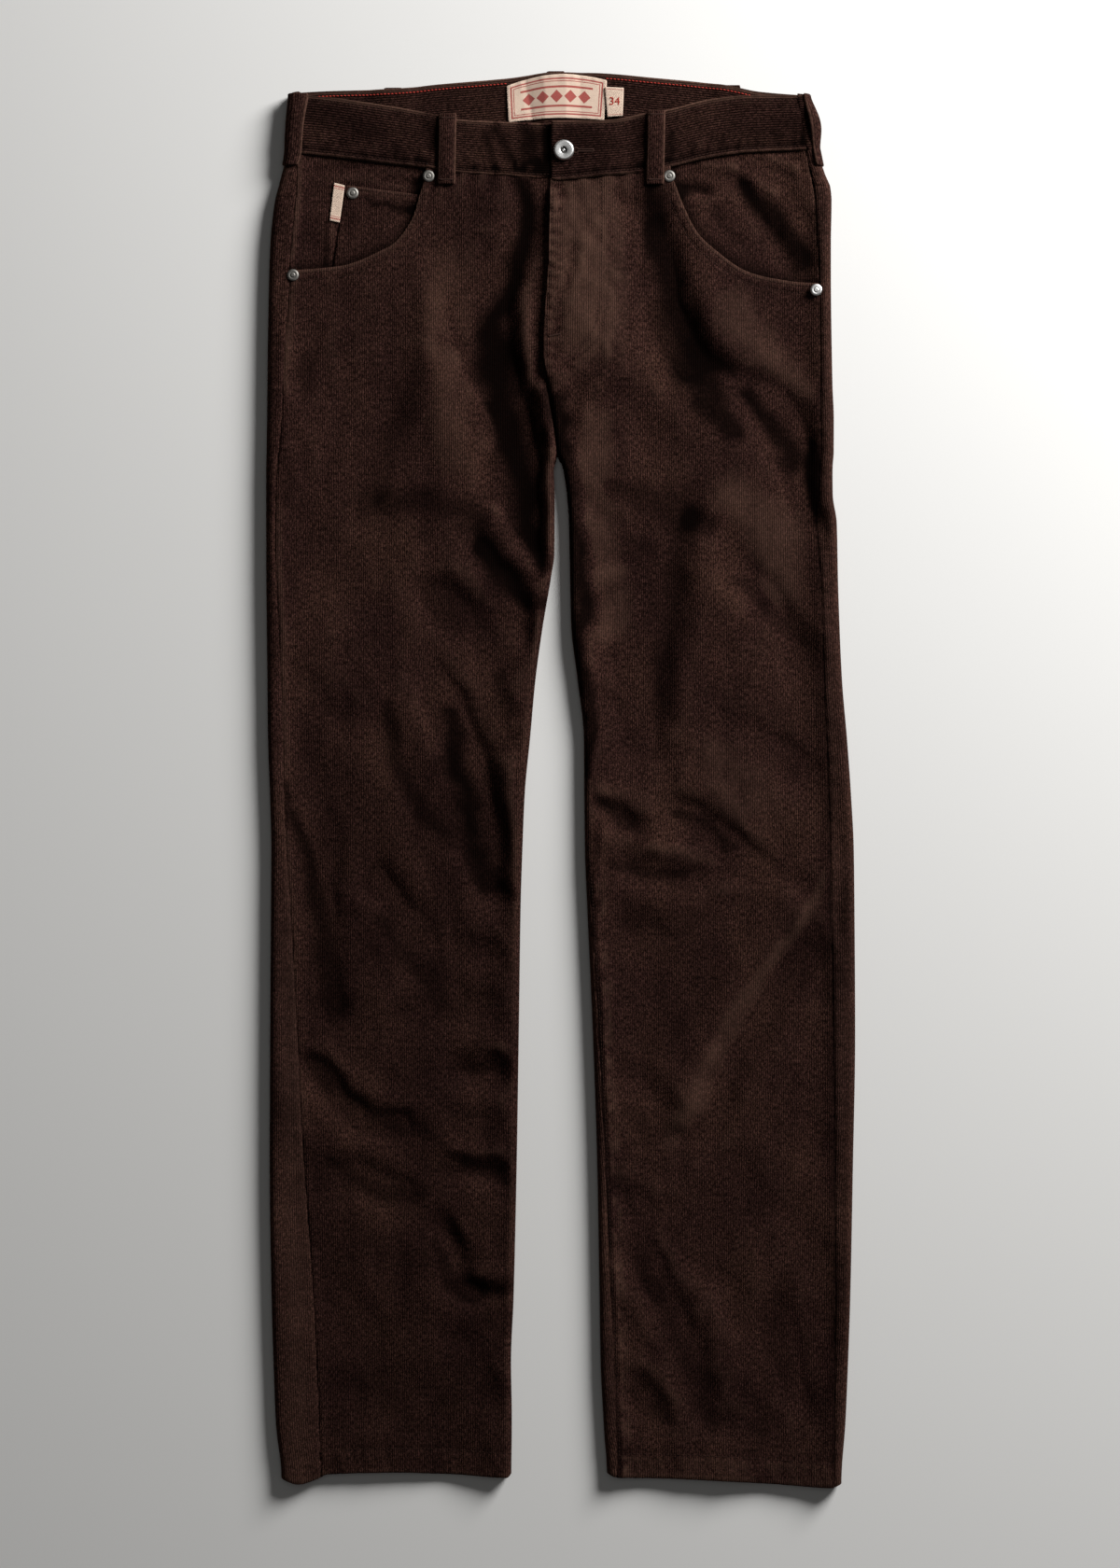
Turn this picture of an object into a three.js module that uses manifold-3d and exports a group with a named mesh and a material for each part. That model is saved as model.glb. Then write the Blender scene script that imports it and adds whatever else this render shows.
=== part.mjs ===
import * as THREE from 'three';
import Module from 'manifold-3d';

// Corduroy trousers, laid flat on their back. Millimetres, +Z up, waist toward +Y.
// Left and right are as the picture shows them, not the wearer's.

const wasm = await Module();
wasm.setup();
const { Manifold } = wasm;

const cloth = 1.4;            // corduroy wall
const hemDepth = 20;          // turned-up hem
const hemWall = 2.6;          // two layers of cloth
const bandWall = 3;           // waistband, two layers and its seam allowance
const bandLift = 0.9;         // waistband stands this far above the panels
const gap = 0.3;              // between pieces
const loopWidth = 14;
const loopWall = 2.4;
const loopRise = 2.7;         // waistband lies this high where a loop is under it
const lapPanel = 2.2;         // the fly's upper panel rides this far above the lower one
const lapBand = 3.4;          // same, of the waistband
const lapUnder = 18;          // the lower panel reaches this x under the fly
const crotchLow = 260;        // the legs part below this, and join above crotchHigh
const crotchHigh = 277;
const ease = 0.9;             // panels stop this far short of the waistband's curved edge
const rollReach = 22;         // how far the raised edge runs into a panel
const labelWall = 0.9;
const rivetRadius = 5;
const rivetHeight = 1.6;
const button = { x: 2.8, y: 531.5, radius: 8.7, height: 3.2, shank: 2, hole: 2.7 };

const table = (names, rows) => {
  const keys = names.split(' ');
  return rows.map((row) => Object.fromEntries(keys.map((key, i) => [key, row[i]])));
};

// Outlines of the two legs, from the top down: outer edge, side seam, inner edge
// and how far the inseam lies in from that edge.
const legs = {
  left: {
    sign: -1,
    rows: table('y outer seam inner inset', [
      [600, -229, -219, -3.2, 0.6], [575, -229.5, -219.5, -3.2, 0.6],
      [530, -232.5, -222.8, -3.2, 0.6], [505, -237.6, -222.2, -3.2, 0.6],
      [482, -242.7, -223.8, -3.2, 0.6], [456, -245.5, -226.3, -3.2, 0.6],
      [430, -246.6, -228.5, -3.2, 0.6], [367, -247.8, -233.1, -3.2, 0.6],
      [304, -248.5, -236.1, -3.2, 0.6], [276, -248.9, -238.4, -3.2, 0.6],
      [271, -249, -239, -3.8, 0.6], [266, -249.1, -239.5, -4.6, 0.6],
      [260, -249.2, -239.9, -5.6, 0.6], [241, -249.2, -240.7, -5, 0.6],
      [193, -249.2, -241.3, -5.1, 0.6], [170, -249.1, -240.3, -8.1, 0.6],
      [130, -248.7, -238.4, -14.9, 0.6], [83, -248.2, -236.3, -21.3, 0.6],
      [35, -247.7, -235, -25.7, 0.6], [-12, -246.1, -233.9, -30.2, 0.6],
      [-59, -244.9, -232, -32.2, 0.6], [-107, -245.2, -228.7, -33.7, 0.6],
      [-217, -245.9, -223, -35.3, 0.6], [-328, -246.3, -217.1, -37.1, 0.6],
      [-439, -244.7, -209.3, -39.7, 0.6], [-494, -243.1, -206.5, -41.9, 0.6],
      [-541, -241.3, -204.6, -41.2, 0.6], [-600, -236.4, -202.6, -41.6, 0.6],
    ]),
    hem: table('x y', [
      [-240, -591], [-222, -596], [-204, -591], [-199, -588], [-146, -586.4], [-90, -588],
      [-45, -590.3], [-40, -587],
    ]),
  },
  right: {
    sign: 1,
    rows: table('y outer seam inner inset', [
      [600, 207, 198, -2.9, 0.6], [575, 209.7, 200.5, -2.9, 0.6],
      [535, 217, 207.5, -2.9, 0.6], [517, 220.8, 209.7, -2.9, 0.6],
      [505, 223.8, 212.3, -2.9, 0.6], [482, 229.6, 215.7, -2.9, 0.6],
      [456, 229, 217.9, -2.9, 0.6], [430, 229, 219.3, -2.9, 0.6],
      [336, 230.3, 220, -2.9, 0.6], [304, 231.5, 220.4, -2.9, 0.6],
      [276, 231.4, 220.5, -2.9, 0.6], [271, 231, 220.3, -1.2, 0.6],
      [266, 230.6, 220.1, 1.2, 0.6], [260, 230.4, 219.7, 2.6, 0.6],
      [241, 230.6, 218.4, 5.4, 0.6], [217, 234, 217, 7.1, 0.6],
      [170, 235, 220.3, 8.1, 0.6], [130, 236.3, 221.8, 9.1, 0.6],
      [83, 238.5, 223, 14.6, 0.6], [35, 242.6, 225.2, 19.8, 0.6],
      [-12, 246, 227, 20.2, 0.6], [-59, 248.4, 228.4, 20.7, 1.6],
      [-107, 249, 229.1, 22.6, 3], [-217, 249.6, 230.8, 27.5, 4.6],
      [-328, 247.7, 232.3, 31.2, 6.6], [-439, 245.5, 232.6, 33.1, 9.4],
      [-494, 243.6, 232.4, 34, 11.4], [-541, 241.6, 232.2, 36.3, 10.6],
      [-600, 238, 231.9, 39.3, 9],
    ]),
    hem: table('x y', [
      [38, -587], [48, -590.3], [111, -591.9], [188, -596.6], [228, -599], [240, -596],
    ]),
  },
};

// Height of the cloth's upper face in the middle of a leg and at its rolled edge.
const heights = table('y middle edge', [
  [600, 9, 10.5], [560, 9, 10.5], [520, 9, 11.5], [450, 8.8, 13], [300, 7.4, 13],
  [200, 6.6, 13], [0, 6.2, 12.5], [-300, 6.2, 12], [-540, 6.6, 11], [-600, 7, 11],
]);

// Where the front panels end above the crotch, and how far that end drops into the crease.
const frontEnds = table('y left right drop', [
  [260, -5.6, 2.6, 1], [266, -4.6, 1.2, 1], [271, -3.8, -1.2, 1], [276, -3.2, -2.9, 1], [290, -4.7, -4.4, 1], [305, -6.8, -6.5, 1],
  [320, -9.2, -8.9, 0.9], [333, -11.2, -10.9, 0.6], [345, -12.2, -11.9, 0],
  [356, -12.2, -13.8, 0], [375, lapUnder, -13.8, 0], [440, lapUnder, -9.9, 0],
  [503, lapUnder, -8.3, 0], [600, lapUnder, -6.7, 0],
]);

// Main folds: a line from (x0, y0) to (x1, y1), bowed sideways, its half width and depth.
const folds = table('leg x0 y0 x1 y1 bow width depth', [
  ['left', -56.5, 384, -13.8, 234, 4, 11, -3.6],
  ['left', -36, 312, -17, 181, 0, 8, -2.4],
  ['left', -65, 204, -18, 136, 3, 11, -3],
  ['left', -103, 75, -42, -99, 5, 13, -3.4],
  ['left', -146, -80, -112, -158, 0, 12, -2.2],
  ['left', -209, -248, -135, -296, -11, 12, -2.6],
  ['left', -81, -239, -44, -244, 0, 11, -2.4],
  ['left', -186, -331, -139, -347, 0, 13, -1.8],
  ['left', -85, -334, -44, -335, 0, 10, -2.2],
  ['left', -96, -391, -80, -428, 0, 10, -2],
  ['left', -81, -428, -46, -429, 0, 10, -2.2],
  ['left', -214, 375, -214, 345, 0, 12, -1.4],
  ['right', 124, 361, 208, 275, 5, 14, -2.8],
  ['right', 205, 262, 214, 222, 0, 11, -2.2],
  ['right', 77, 148, 69, 69, 0, 15, -1.8],
  ['right', 171, 164, 208, 101, 0, 13, -1.8],
  ['right', 36, -21, 60, -32, 0, 10, -2.4],
  ['right', 102, -24, 158, -61, 6, 12, -2.6],
  ['right', 63, -70, 118, -78, 0, 11, -2.2],
  ['right', 222, -84, 107, -266, 0, 14, 3],
  ['right', 73, -410, 127, -533, 6, 12, -2.4],
  ['right', 60, -514, 86, -538, 0, 10, -1.6],
  ['right', 184, -454, 205, -521, 0, 13, -1.4],
]);

// Edges of the waistband: front halves and the back, whose inside shows over the front.
const bandFront = {
  left: table('x top bottom', [
    [-236, 578.5, 531], [-215, 577.3, 530], [-158, 570.2, 523.4], [-105, 560.7, 517.5],
    [-89, 557, 514.5], [-45, 554.7, 511.8], [-10, 553.2, 509.4], [40, 553, 509.4],
  ]),
  right: table('x top bottom', [
    [-10, 555.2, 507.6], [41, 556, 511.7], [73, 562.3, 515.2], [90, 565, 518.8],
    [131, 574.6, 528], [164, 577.3, 532], [205, 577.3, 533.6], [230, 577, 534.2],
  ]),
};
const bandBack = table('x top bottom', [
  [-236, 578.5, 530.8], [-222, 580.5, 530.8], [-195, 582, 534.5], [-142, 583.5, 539.5],
  [-105, 587.5, 543.5], [-45, 592.7, 549], [-4, 597.5, 553.5], [22, 597.5, 553.5],
  [84, 592.8, 549], [136, 587.3, 543.5], [164, 582, 537.5], [190, 579.5, 534.4],
  [208, 578.3, 533.6], [230, 577, 533.6],
]);
const yokeSeam = table('x y', [[-250, 492.5], [-200, 490], [-3, 480], [195, 500], [240, 502]]);

const backLoops = table('name x', [['left', -142], ['centre', -4], ['right', 145]]);
const frontLoops = table('name x top bottom', [
  ['left', -96, 562, 504], ['right', 80.5, 565, 504],
]);
const scoops = {
  left: table('x y', [
    [-114.2, 530], [-114.2, 511.7], [-118.9, 495.9], [-126, 473.8], [-140.2, 454],
    [-156.8, 444.6], [-172.6, 437.5], [-188.4, 433.5], [-220.8, 430.4], [-250, 429.5],
  ]),
  right: table('x y', [
    [94.4, 530], [94.4, 511.7], [98.4, 499.9], [105.5, 481.7], [116.5, 461.2], [131.5, 447],
    [149.7, 433.5], [167.1, 426.4], [190.8, 421.7], [211.3, 419.3], [250, 418],
  ]),
};
const bearerDrop = { left: 3.5, right: 1.8 };   // pocket bearer below the panel's face
const bearerReach = 9;                          // how far it runs on under the scoop's edge

// Four corners: top left, top right, bottom right, bottom left.
const coinPocket = { drop: 1.8, corners: [[-181.6, 502.4], [-106, 492.4], [-122, 420], [-192.5, 429]] };
const sideTab = [[-191.4, 504.6], [-182.9, 502.4], [-187.2, 471.4], [-195.2, 473]];
const mainLabel = [[-45.4, 587.2], [39.1, 592], [36.7, 558.6], [-43.8, 556.6]];
const labelArch = 7;
const sizeTag = [[37.9, 586.2], [53.4, 585.4], [52.4, 562], [40, 561.2]];

const rivets = table('leg x y carrier', [
  ['left', -111.6, 510.2, 'panel'], ['left', -226.2, 426, 'seam'],
  ['left', -176, 496, 'coin'], ['right', 92, 510.2, 'panel'], ['right', 216.2, 413.6, 'seam'],
]);

const clamp = (t) => Math.min(1, Math.max(0, t));
const mix = (a, b, t) => a + (b - a) * t;
const smooth = (a, b, v) => { const t = clamp((v - a) / (b - a)); return t * t * (3 - 2 * t); };

// Smooth curve without overshoot through one column of a table.
function at(rows, key, v, by = 'y') {
  const list = rows[0][by] < rows[rows.length - 1][by] ? rows : [...rows].reverse();
  const n = list.length;
  if (v <= list[0][by]) return list[0][key];
  if (v >= list[n - 1][by]) return list[n - 1][key];
  let i = 0;
  while (v > list[i + 1][by]) i++;
  const slope = (k) => (k < 0 || k > n - 2 ? 0
    : (list[k + 1][key] - list[k][key]) / (list[k + 1][by] - list[k][by]));
  const tangent = (k) => {
    const a = slope(k - 1), b = slope(k);
    return a * b > 0 ? (2 * a * b) / (a + b) : 0;
  };
  const span = list[i + 1][by] - list[i][by];
  const t = (v - list[i][by]) / span;
  const t2 = t * t, t3 = t2 * t;
  return list[i][key] * (2 * t3 - 3 * t2 + 1) + list[i + 1][key] * (3 * t2 - 2 * t3)
    + span * (tangent(i) * (t3 - 2 * t2 + t) + tangent(i + 1) * (t3 - t2));
}

function foldAt(side, x, y) {
  let sum = 0;
  for (const f of folds) {
    if (f.leg !== side) continue;
    const dx = f.x1 - f.x0, dy = f.y1 - f.y0, length = Math.hypot(dx, dy);
    const along = ((x - f.x0) * dx + (y - f.y0) * dy) / length;
    const t = clamp(along / length);
    const across = ((y - f.y0) * dx - (x - f.x0) * dy) / length - f.bow * 4 * t * (1 - t);
    const past = Math.max(0, -along, along - length);
    const s = Math.abs(across) / f.width;
    const shape = Math.exp(-s * s) - 0.4 * Math.exp(-((s - 1.9) ** 2));
    sum += f.depth * shape * Math.exp(-((past / (1.1 * f.width)) ** 2));
  }
  return sum;
}

// Upper face of a leg at (x, y): the middle, the raised edges, the folds and the fly's lap.
function openHeight(side, x, y) {
  const leg = legs[side];
  const middle = at(heights, 'middle', y), edge = at(heights, 'edge', y);
  const outside = Math.max(0, leg.sign * (at(leg.rows, 'outer', y) - x));
  const inside = y < crotchLow ? Math.max(0, leg.sign * (x - at(leg.rows, 'inner', y))) : 999;
  const near = Math.min(outside, inside);
  let z = middle + (edge - middle) * Math.exp(-((near / rollReach) ** 2));
  const fly = side === 'left' ? smooth(-34, -18, x) * smooth(322, 345, y) : 0;
  z += foldAt(side, x, y) * smooth(2, 16, near) * (1 - smooth(400, 440, y)) * (1 - fly);
  if (side === 'right') z += lapPanel * (1 - smooth(34, 64, x)) * smooth(322, 345, y);
  return Math.max(z, hemWall + cloth + 0.5);
}

// The same with both edges rounded down to half the edge's height.
function topHeight(side, x, y, extra = 0) {
  const leg = legs[side];
  const edge = at(heights, 'edge', y), radius = edge / 2;
  let z = openHeight(side, x, y) + extra;
  const outside = clamp((leg.sign * (at(leg.rows, 'outer', y) - x)) / radius);
  z = radius + (z - radius) * Math.sqrt(1 - (1 - outside) ** 2);
  const end = y < crotchLow ? at(leg.rows, 'inner', y) : at(frontEnds, side, y);
  const drop = y < crotchLow ? 1 : at(frontEnds, 'drop', y);
  if (drop > 0) {
    const inside = clamp((leg.sign * (x - end)) / radius);
    const low = mix(z, mix(radius, 5, smooth(crotchLow, crotchHigh, y)), drop);
    z = low + (z - low) * Math.sqrt(1 - (1 - inside) ** 2);
  }
  return z;
}

// Outward direction in the section, for the ends that meet another piece at a seam.
function faceNormal(side, x, y, extra = 0) {
  const slope = (topHeight(side, x + 0.15, y, extra) - topHeight(side, x - 0.15, y, extra)) / 0.3;
  const length = Math.hypot(slope, 1);
  return [-slope / length, 1 / length];
}

function solid(points, faces) {
  let volume = 0;
  for (const [a, b, c] of faces) {
    const [p, q, r] = [points[a], points[b], points[c]];
    volume += p[0] * (q[1] * r[2] - q[2] * r[1]) - p[1] * (q[0] * r[2] - q[2] * r[0])
      + p[2] * (q[0] * r[1] - q[1] * r[0]);
  }
  const out = volume < 0 ? faces.map(([a, b, c]) => [a, c, b]) : faces;
  return new Manifold(new wasm.Mesh({
    numProp: 3,
    vertProperties: new Float32Array(points.flat()),
    triVerts: new Uint32Array(out.flat()),
  }));
}

// A closed wall on a grid of its outer points; sign picks the side that faces out.
function wall(grid, thickness, sign) {
  const rows = grid.length, columns = grid[0].length;
  const outer = grid.flat(), inner = [];
  const P = (j, c) => {
    const [x, y, z] = grid[Math.min(rows - 1, Math.max(0, j))][Math.min(columns - 1, Math.max(0, c))];
    return new THREE.Vector3(x, y, z);
  };
  for (let j = 0; j < rows; j++) {
    for (let c = 0; c < columns; c++) {
      const n = P(j, c + 1).sub(P(j, c - 1)).cross(P(j + 1, c).sub(P(j - 1, c))).multiplyScalar(sign);
      if (grid[j][c].length > 3) n.set(grid[j][c][3], 0, grid[j][c][4]);
      n.normalize().multiplyScalar(-(typeof thickness === 'number' ? thickness : thickness(j)));
      inner.push([grid[j][c][0] + n.x, grid[j][c][1] + n.y, grid[j][c][2] + n.z]);
    }
  }
  const size = rows * columns, faces = [];
  const at2 = (j, c) => j * columns + c;
  for (let j = 0; j < rows - 1; j++) {
    for (let c = 0; c < columns - 1; c++) {
      const [a, b, d, e] = [at2(j, c), at2(j, c + 1), at2(j + 1, c + 1), at2(j + 1, c)];
      faces.push([a, b, d], [a, d, e], [a + size, d + size, b + size], [a + size, e + size, d + size]);
    }
  }
  const rim = [];
  for (let c = 0; c < columns - 1; c++) rim.push(at2(0, c));
  for (let j = 0; j < rows - 1; j++) rim.push(at2(j, columns - 1));
  for (let c = columns - 1; c > 0; c--) rim.push(at2(rows - 1, c));
  for (let j = rows - 1; j > 0; j--) rim.push(at2(j, 0));
  rim.forEach((a, i) => {
    const b = rim[(i + 1) % rim.length];
    faces.push([b, a, a + size], [b, a + size, b + size]);
  });
  return solid([...outer.map((p) => p.slice(0, 3)), ...inner], faces);
}

// Rows of a panel: hem, leg, and up to a curved top edge; y depends on x at both ends.
const legRows = [
  -552, -530, -500, -464, -428, -391, -366, -334, -300, -270, -242, -210, -172, -136, -104, -74,
  -50, -22, 8, 40, 74, 106, 136, 164, 192, 222, 241, 252, 260, 266, 271, 276, 290,
];
const hemRows = [0, hemDepth - 1.5, hemDepth];
function rowY(row, x, side, topEdge, last) {
  if (row.hem !== undefined) return at(legs[side].hem, 'y', x, 'x') + row.hem;
  if (row.part !== undefined) return mix(last, topEdge(x), row.part);
  return row.y;
}
const wallAt = (rows) => (j) => (rows[j].hem !== undefined && rows[j].hem < hemDepth ? hemWall : cloth);

function frontPanel(side, columns, rounded) {
  const leg = legs[side];
  const last = 492;
  const rows = [
    ...hemRows.map((hem) => ({ hem })),
    ...[...legRows, 305, 320, 333, 345, 356, 375, 395, 415, 434, 452, 472, last].map((y) => ({ y })),
    { part: 0.5 }, { part: 1 },
  ];
  const topEdge = (x) => at(bandFront[side], 'bottom', x, 'x') - ease;
  const grid = rows.map((row) => {
    const base = row.hem !== undefined ? -570 : row.part !== undefined ? mix(last, 518, row.part) : row.y;
    const line = [];
    for (let c = 0; c <= columns + rounded; c++) {
      const place = (y) => {
        const reach = mix(at(leg.rows, 'inset', y) + gap / 2, 0.01, smooth(crotchLow, crotchHigh, y))
          + 2.2 * Math.exp(-(((y - 262) / 8) ** 2));
        const end = (y < crotchLow ? at(leg.rows, 'inner', y) : at(frontEnds, side, y))
          + leg.sign * reach;
        const start = at(leg.rows, 'seam', y) - leg.sign * (gap / 2);
        const near = end + leg.sign * 15;
        if (c <= columns) return mix(start, near, c / columns);
        return end + leg.sign * 15 * (1 - Math.sin(((c - columns) / rounded) * (Math.PI / 2)));
      };
      let x = place(base);
      const y = rowY(row, x, side, topEdge, last);
      x = place(y);
      const seam = c === 0 || (c === columns + rounded && y <= crotchLow);
      line.push([x, y, topHeight(side, x, y), ...(seam ? faceNormal(side, x, y) : [])]);
    }
    return line;
  });
  return wall(grid, wallAt(rows), leg.sign < 0 ? 1 : -1);
}

// Points of a leg's back: from the side seam round the outer edge, along the bottom
// and round the inner edge; above the crotch the inner end lies flat to the centre back.
function backLine(side, y, extra, start, flats) {
  const leg = legs[side];
  const outer = at(leg.rows, 'outer', y), inner = at(leg.rows, 'inner', y);
  const radius = at(heights, 'edge', y) / 2;
  const points = [];
  for (let i = 0; i <= 3; i++) {
    const x = outer - leg.sign * start * (1 - Math.sin((i / 3) * (Math.PI / 2)));
    points.push([x, i === 3 ? radius : topHeight(side, x, y, extra),
      ...(i === 0 ? faceNormal(side, x, y, extra) : [])]);
  }
  for (let i = 1; i <= 2; i++) {
    const a = (i / 2) * (Math.PI / 2);
    points.push([outer - leg.sign * radius * (1 - Math.cos(a)), radius * (1 - Math.sin(a))]);
  }
  const from = outer - leg.sign * radius, to = inner + leg.sign * radius;
  for (let i = 1; i < flats; i++) points.push([mix(from, to, i / flats), 0]);
  if (flats < 1) return points;
  const inset = at(leg.rows, 'inset', y) - gap / 2;
  const round = 1 - smooth(crotchLow, crotchHigh - 6, y);
  for (let i = 0; i <= 4; i++) {
    const t = i / 4;
    const a = Math.min(1, i / 2) * (Math.PI / 2);
    let x = inner + leg.sign * radius * (1 - Math.sin(a)), z = radius * (1 - Math.cos(a));
    if (i > 2) {
      x = inner + leg.sign * inset * ((i - 2) / 2) ** 2;
      z = topHeight(side, x, y);
    }
    const point = [mix(mix(to, inner, t), x, round), mix(0, z, round)];
    if (i === 4) {
      const [nx, nz] = faceNormal(side, x, y);
      point.push(nx * round, mix(-1, nz, round));
    }
    points.push(point);
  }
  return points;
}

function backPanel(side) {
  const leg = legs[side];
  const last = 465;
  const rows = [
    ...hemRows.map((hem) => ({ hem })),
    ...[...legRows, 320, 356, 395, 434, last].map((y) => ({ y })),
    { part: 1 },
  ];
  const topEdge = (x) => at(yokeSeam, 'y', x, 'x') - gap / 2;
  const grid = rows.map((row) => {
    const base = row.hem !== undefined ? -570 : row.part !== undefined ? 490 : row.y;
    const line = (y) => backLine(side, y, 0,
      leg.sign * (at(leg.rows, 'outer', y) - at(leg.rows, 'seam', y)) - gap / 2, 4);
    return line(base).map((point, i) => {
      const y = rowY(row, point[0], side, topEdge, last);
      const [x, ...rest] = line(y)[i];
      return [x, y, ...rest];
    });
  });
  return wall(grid, wallAt(rows), leg.sign < 0 ? -1 : 1);
}

function yoke(side) {
  const leg = legs[side];
  const rows = [0, 0.5, 1];
  const base = (part) => mix(490, 532, part);
  const line = (y) => backLine(side, y, 0,
    leg.sign * (at(leg.rows, 'outer', y) - at(leg.rows, 'seam', y)) - gap / 2, 4);
  const grid = rows.map((part) => line(base(part)).map((point, i) => {
    const y = mix(at(yokeSeam, 'y', point[0], 'x') + gap / 2,
      at(bandBack, 'bottom', point[0], 'x') - 2 * ease, part);
    const [x, ...rest] = line(y)[i];
    return [x, y, ...rest];
  }));
  return wall(grid, cloth, leg.sign < 0 ? -1 : 1);
}

// Back waistband: its underside rises over each belt loop.
const riseAt = (x) => Math.max(...backLoops.map((loop) => 1 - clamp((Math.abs(x - loop.x)
  - loopWidth / 2 - 2) / 12))) * loopRise;
const bandSplit = 9;
const bandStart = (side, y) => at(legs[side].rows, 'outer', y) - legs[side].sign * bandSplit;

function backBand() {
  const parts = [0, 0.33, 0.67, 1];
  const xs = [];
  for (const loop of backLoops) {
    for (const d of [-21, -9, 0, 9, 21]) xs.push(loop.x + d);
  }
  xs.push(-195, -72, 70, 190);
  xs.sort((a, b) => a - b);
  const grid = parts.map((part) => {
    const rowAt = (x) => mix(at(bandBack, 'bottom', x, 'x'), at(bandBack, 'top', x, 'x'), part);
    const side = (name) => {
      const rough = backLine(name, 555, bandLift, bandSplit - gap / 2, 0);
      return rough.map((point, i) => {
        const y = rowAt(point[0]);
        const [x, ...rest] = backLine(name, y, bandLift, bandSplit - gap / 2, 0)[i];
        return [x, y, ...rest];
      });
    };
    return [...side('left'), ...xs.map((x) => [x, rowAt(x), riseAt(x)]), ...side('right').reverse()];
  });
  return wall(grid, bandWall, -1);
}

function bandHeight(side, x, y) {
  const lap = side === 'right' ? (lapBand - lapPanel) * (1 - smooth(34, 64, x)) : 0;
  return topHeight(side, x, y, bandLift + lap);
}

function frontBand(side) {
  const leg = legs[side];
  const end = side === 'left' ? 23 : -6.7;
  const parts = [0, 0.33, 0.67, 1];
  const steps = side === 'left' ? 18 : 17;
  const grid = parts.map((part) => {
    const line = [];
    for (let c = 0; c <= steps; c++) {
      const place = (y) => mix(bandStart(side, y) - leg.sign * (gap / 2), end, c / steps);
      let x = place(555);
      const under = side === 'left' ? 3.5 * smooth(-8, 2, x) : 0;
      const y = mix(at(bandFront[side], 'bottom', x, 'x') + under, at(bandFront[side], 'top', x, 'x'), part);
      x = place(y);
      line.push([x, y, bandHeight(side, x, y), ...(c === 0 ? faceNormal(side, x, y, bandLift) : [])]);
    }
    return line;
  });
  let body = wall(grid, bandWall, leg.sign < 0 ? 1 : -1);
  if (side === 'right') {
    const hole = Manifold.cylinder(40, button.hole, button.hole, 16).translate([button.x, button.y, -10]);
    body = body.subtract(hole);
  }
  return body;
}

// The outline of a pocket's cut, moved inward by some reach, as an upright prism.
function scoopPrism(side, reach) {
  const list = scoops[side];
  const sign = legs[side].sign;
  const moved = list.map((p, i) => {
    const a = list[Math.max(0, i - 1)], b = list[Math.min(list.length - 1, i + 1)];
    const dx = b.x - a.x, dy = b.y - a.y, length = Math.hypot(dx, dy);
    const nx = (dy / length) * sign * -1, ny = (-dx / length) * sign * -1;
    return [p.x - nx * reach, p.y - ny * reach];
  });
  const side2 = sign * 270;
  const outline = [...moved, [side2, moved[moved.length - 1][1]], [side2, 560], [moved[0][0], 560]];
  const ring = new wasm.CrossSection([outline], 'NonZero');
  const turned = new wasm.CrossSection([[...outline].reverse()], 'NonZero');
  const section = ring.area() > turned.area() ? ring : turned;
  return section.extrude(60).translate([0, 0, -20]);
}

function bearer(side) {
  const leg = legs[side];
  const rows = [0, 0.25, 0.5, 0.75, 1];
  const columns = 8;
  const reach = side === 'left' ? -102 : 82;
  const grid = rows.map((part) => {
    const line = [];
    for (let c = 0; c <= columns; c++) {
      const place = (y) => mix(at(leg.rows, 'seam', y) - leg.sign * (gap / 2), reach, c / columns);
      let x = place(470);
      const y = mix(408, at(bandFront[side], 'bottom', x, 'x') - 1.8 * ease, part);
      x = place(y);
      line.push([x, y, topHeight(side, x, y) - bearerDrop[side]]);
    }
    return line;
  });
  return wall(grid, cloth, leg.sign < 0 ? 1 : -1).intersect(scoopPrism(side, bearerReach));
}

// A patch between four corners, lying on a height function.
function patch([topLeft, topRight, lowRight, lowLeft], height, thickness, across, down, arch = 0) {
  const grid = [];
  for (let j = 0; j <= down; j++) {
    const line = [];
    for (let c = 0; c <= across; c++) {
      const u = c / across, v = j / down;
      const x = mix(mix(lowLeft[0], lowRight[0], u), mix(topLeft[0], topRight[0], u), v);
      const y = mix(mix(lowLeft[1], lowRight[1], u), mix(topLeft[1], topRight[1], u), v)
        + arch * 4 * u * (1 - u) * mix(0.35, 1, v);
      line.push([x, y, height(x, y)]);
    }
    grid.push(line);
  }
  return wall(grid, thickness, 1);
}

// A belt loop on the waistband and the panel below it; it lies a little free in the middle.
function frontLoop(side, loop) {
  const grid = [];
  const steps = 10;
  for (let j = 0; j <= steps; j++) {
    const y = mix(loop.bottom, loop.top, j / steps);
    const line = [];
    for (let c = 0; c <= 2; c++) {
      const x = loop.x + (c / 2 - 0.5) * loopWidth + (y - 535) * 0.02;
      const seam = at(bandFront[side], 'bottom', x, 'x'), top = at(bandFront[side], 'top', x, 'x');
      const on = smooth(seam - 9, seam - 1, y) * bandLift;
      const free = 0.6 * Math.sin(Math.PI * clamp((y - seam) / (top - seam)));
      line.push([x, y, topHeight(side, x, Math.min(y, top)) + on + free + gap + 0.1 + loopWall]);
    }
    grid.push(line);
  }
  return wall(grid, loopWall, 1);
}

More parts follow.
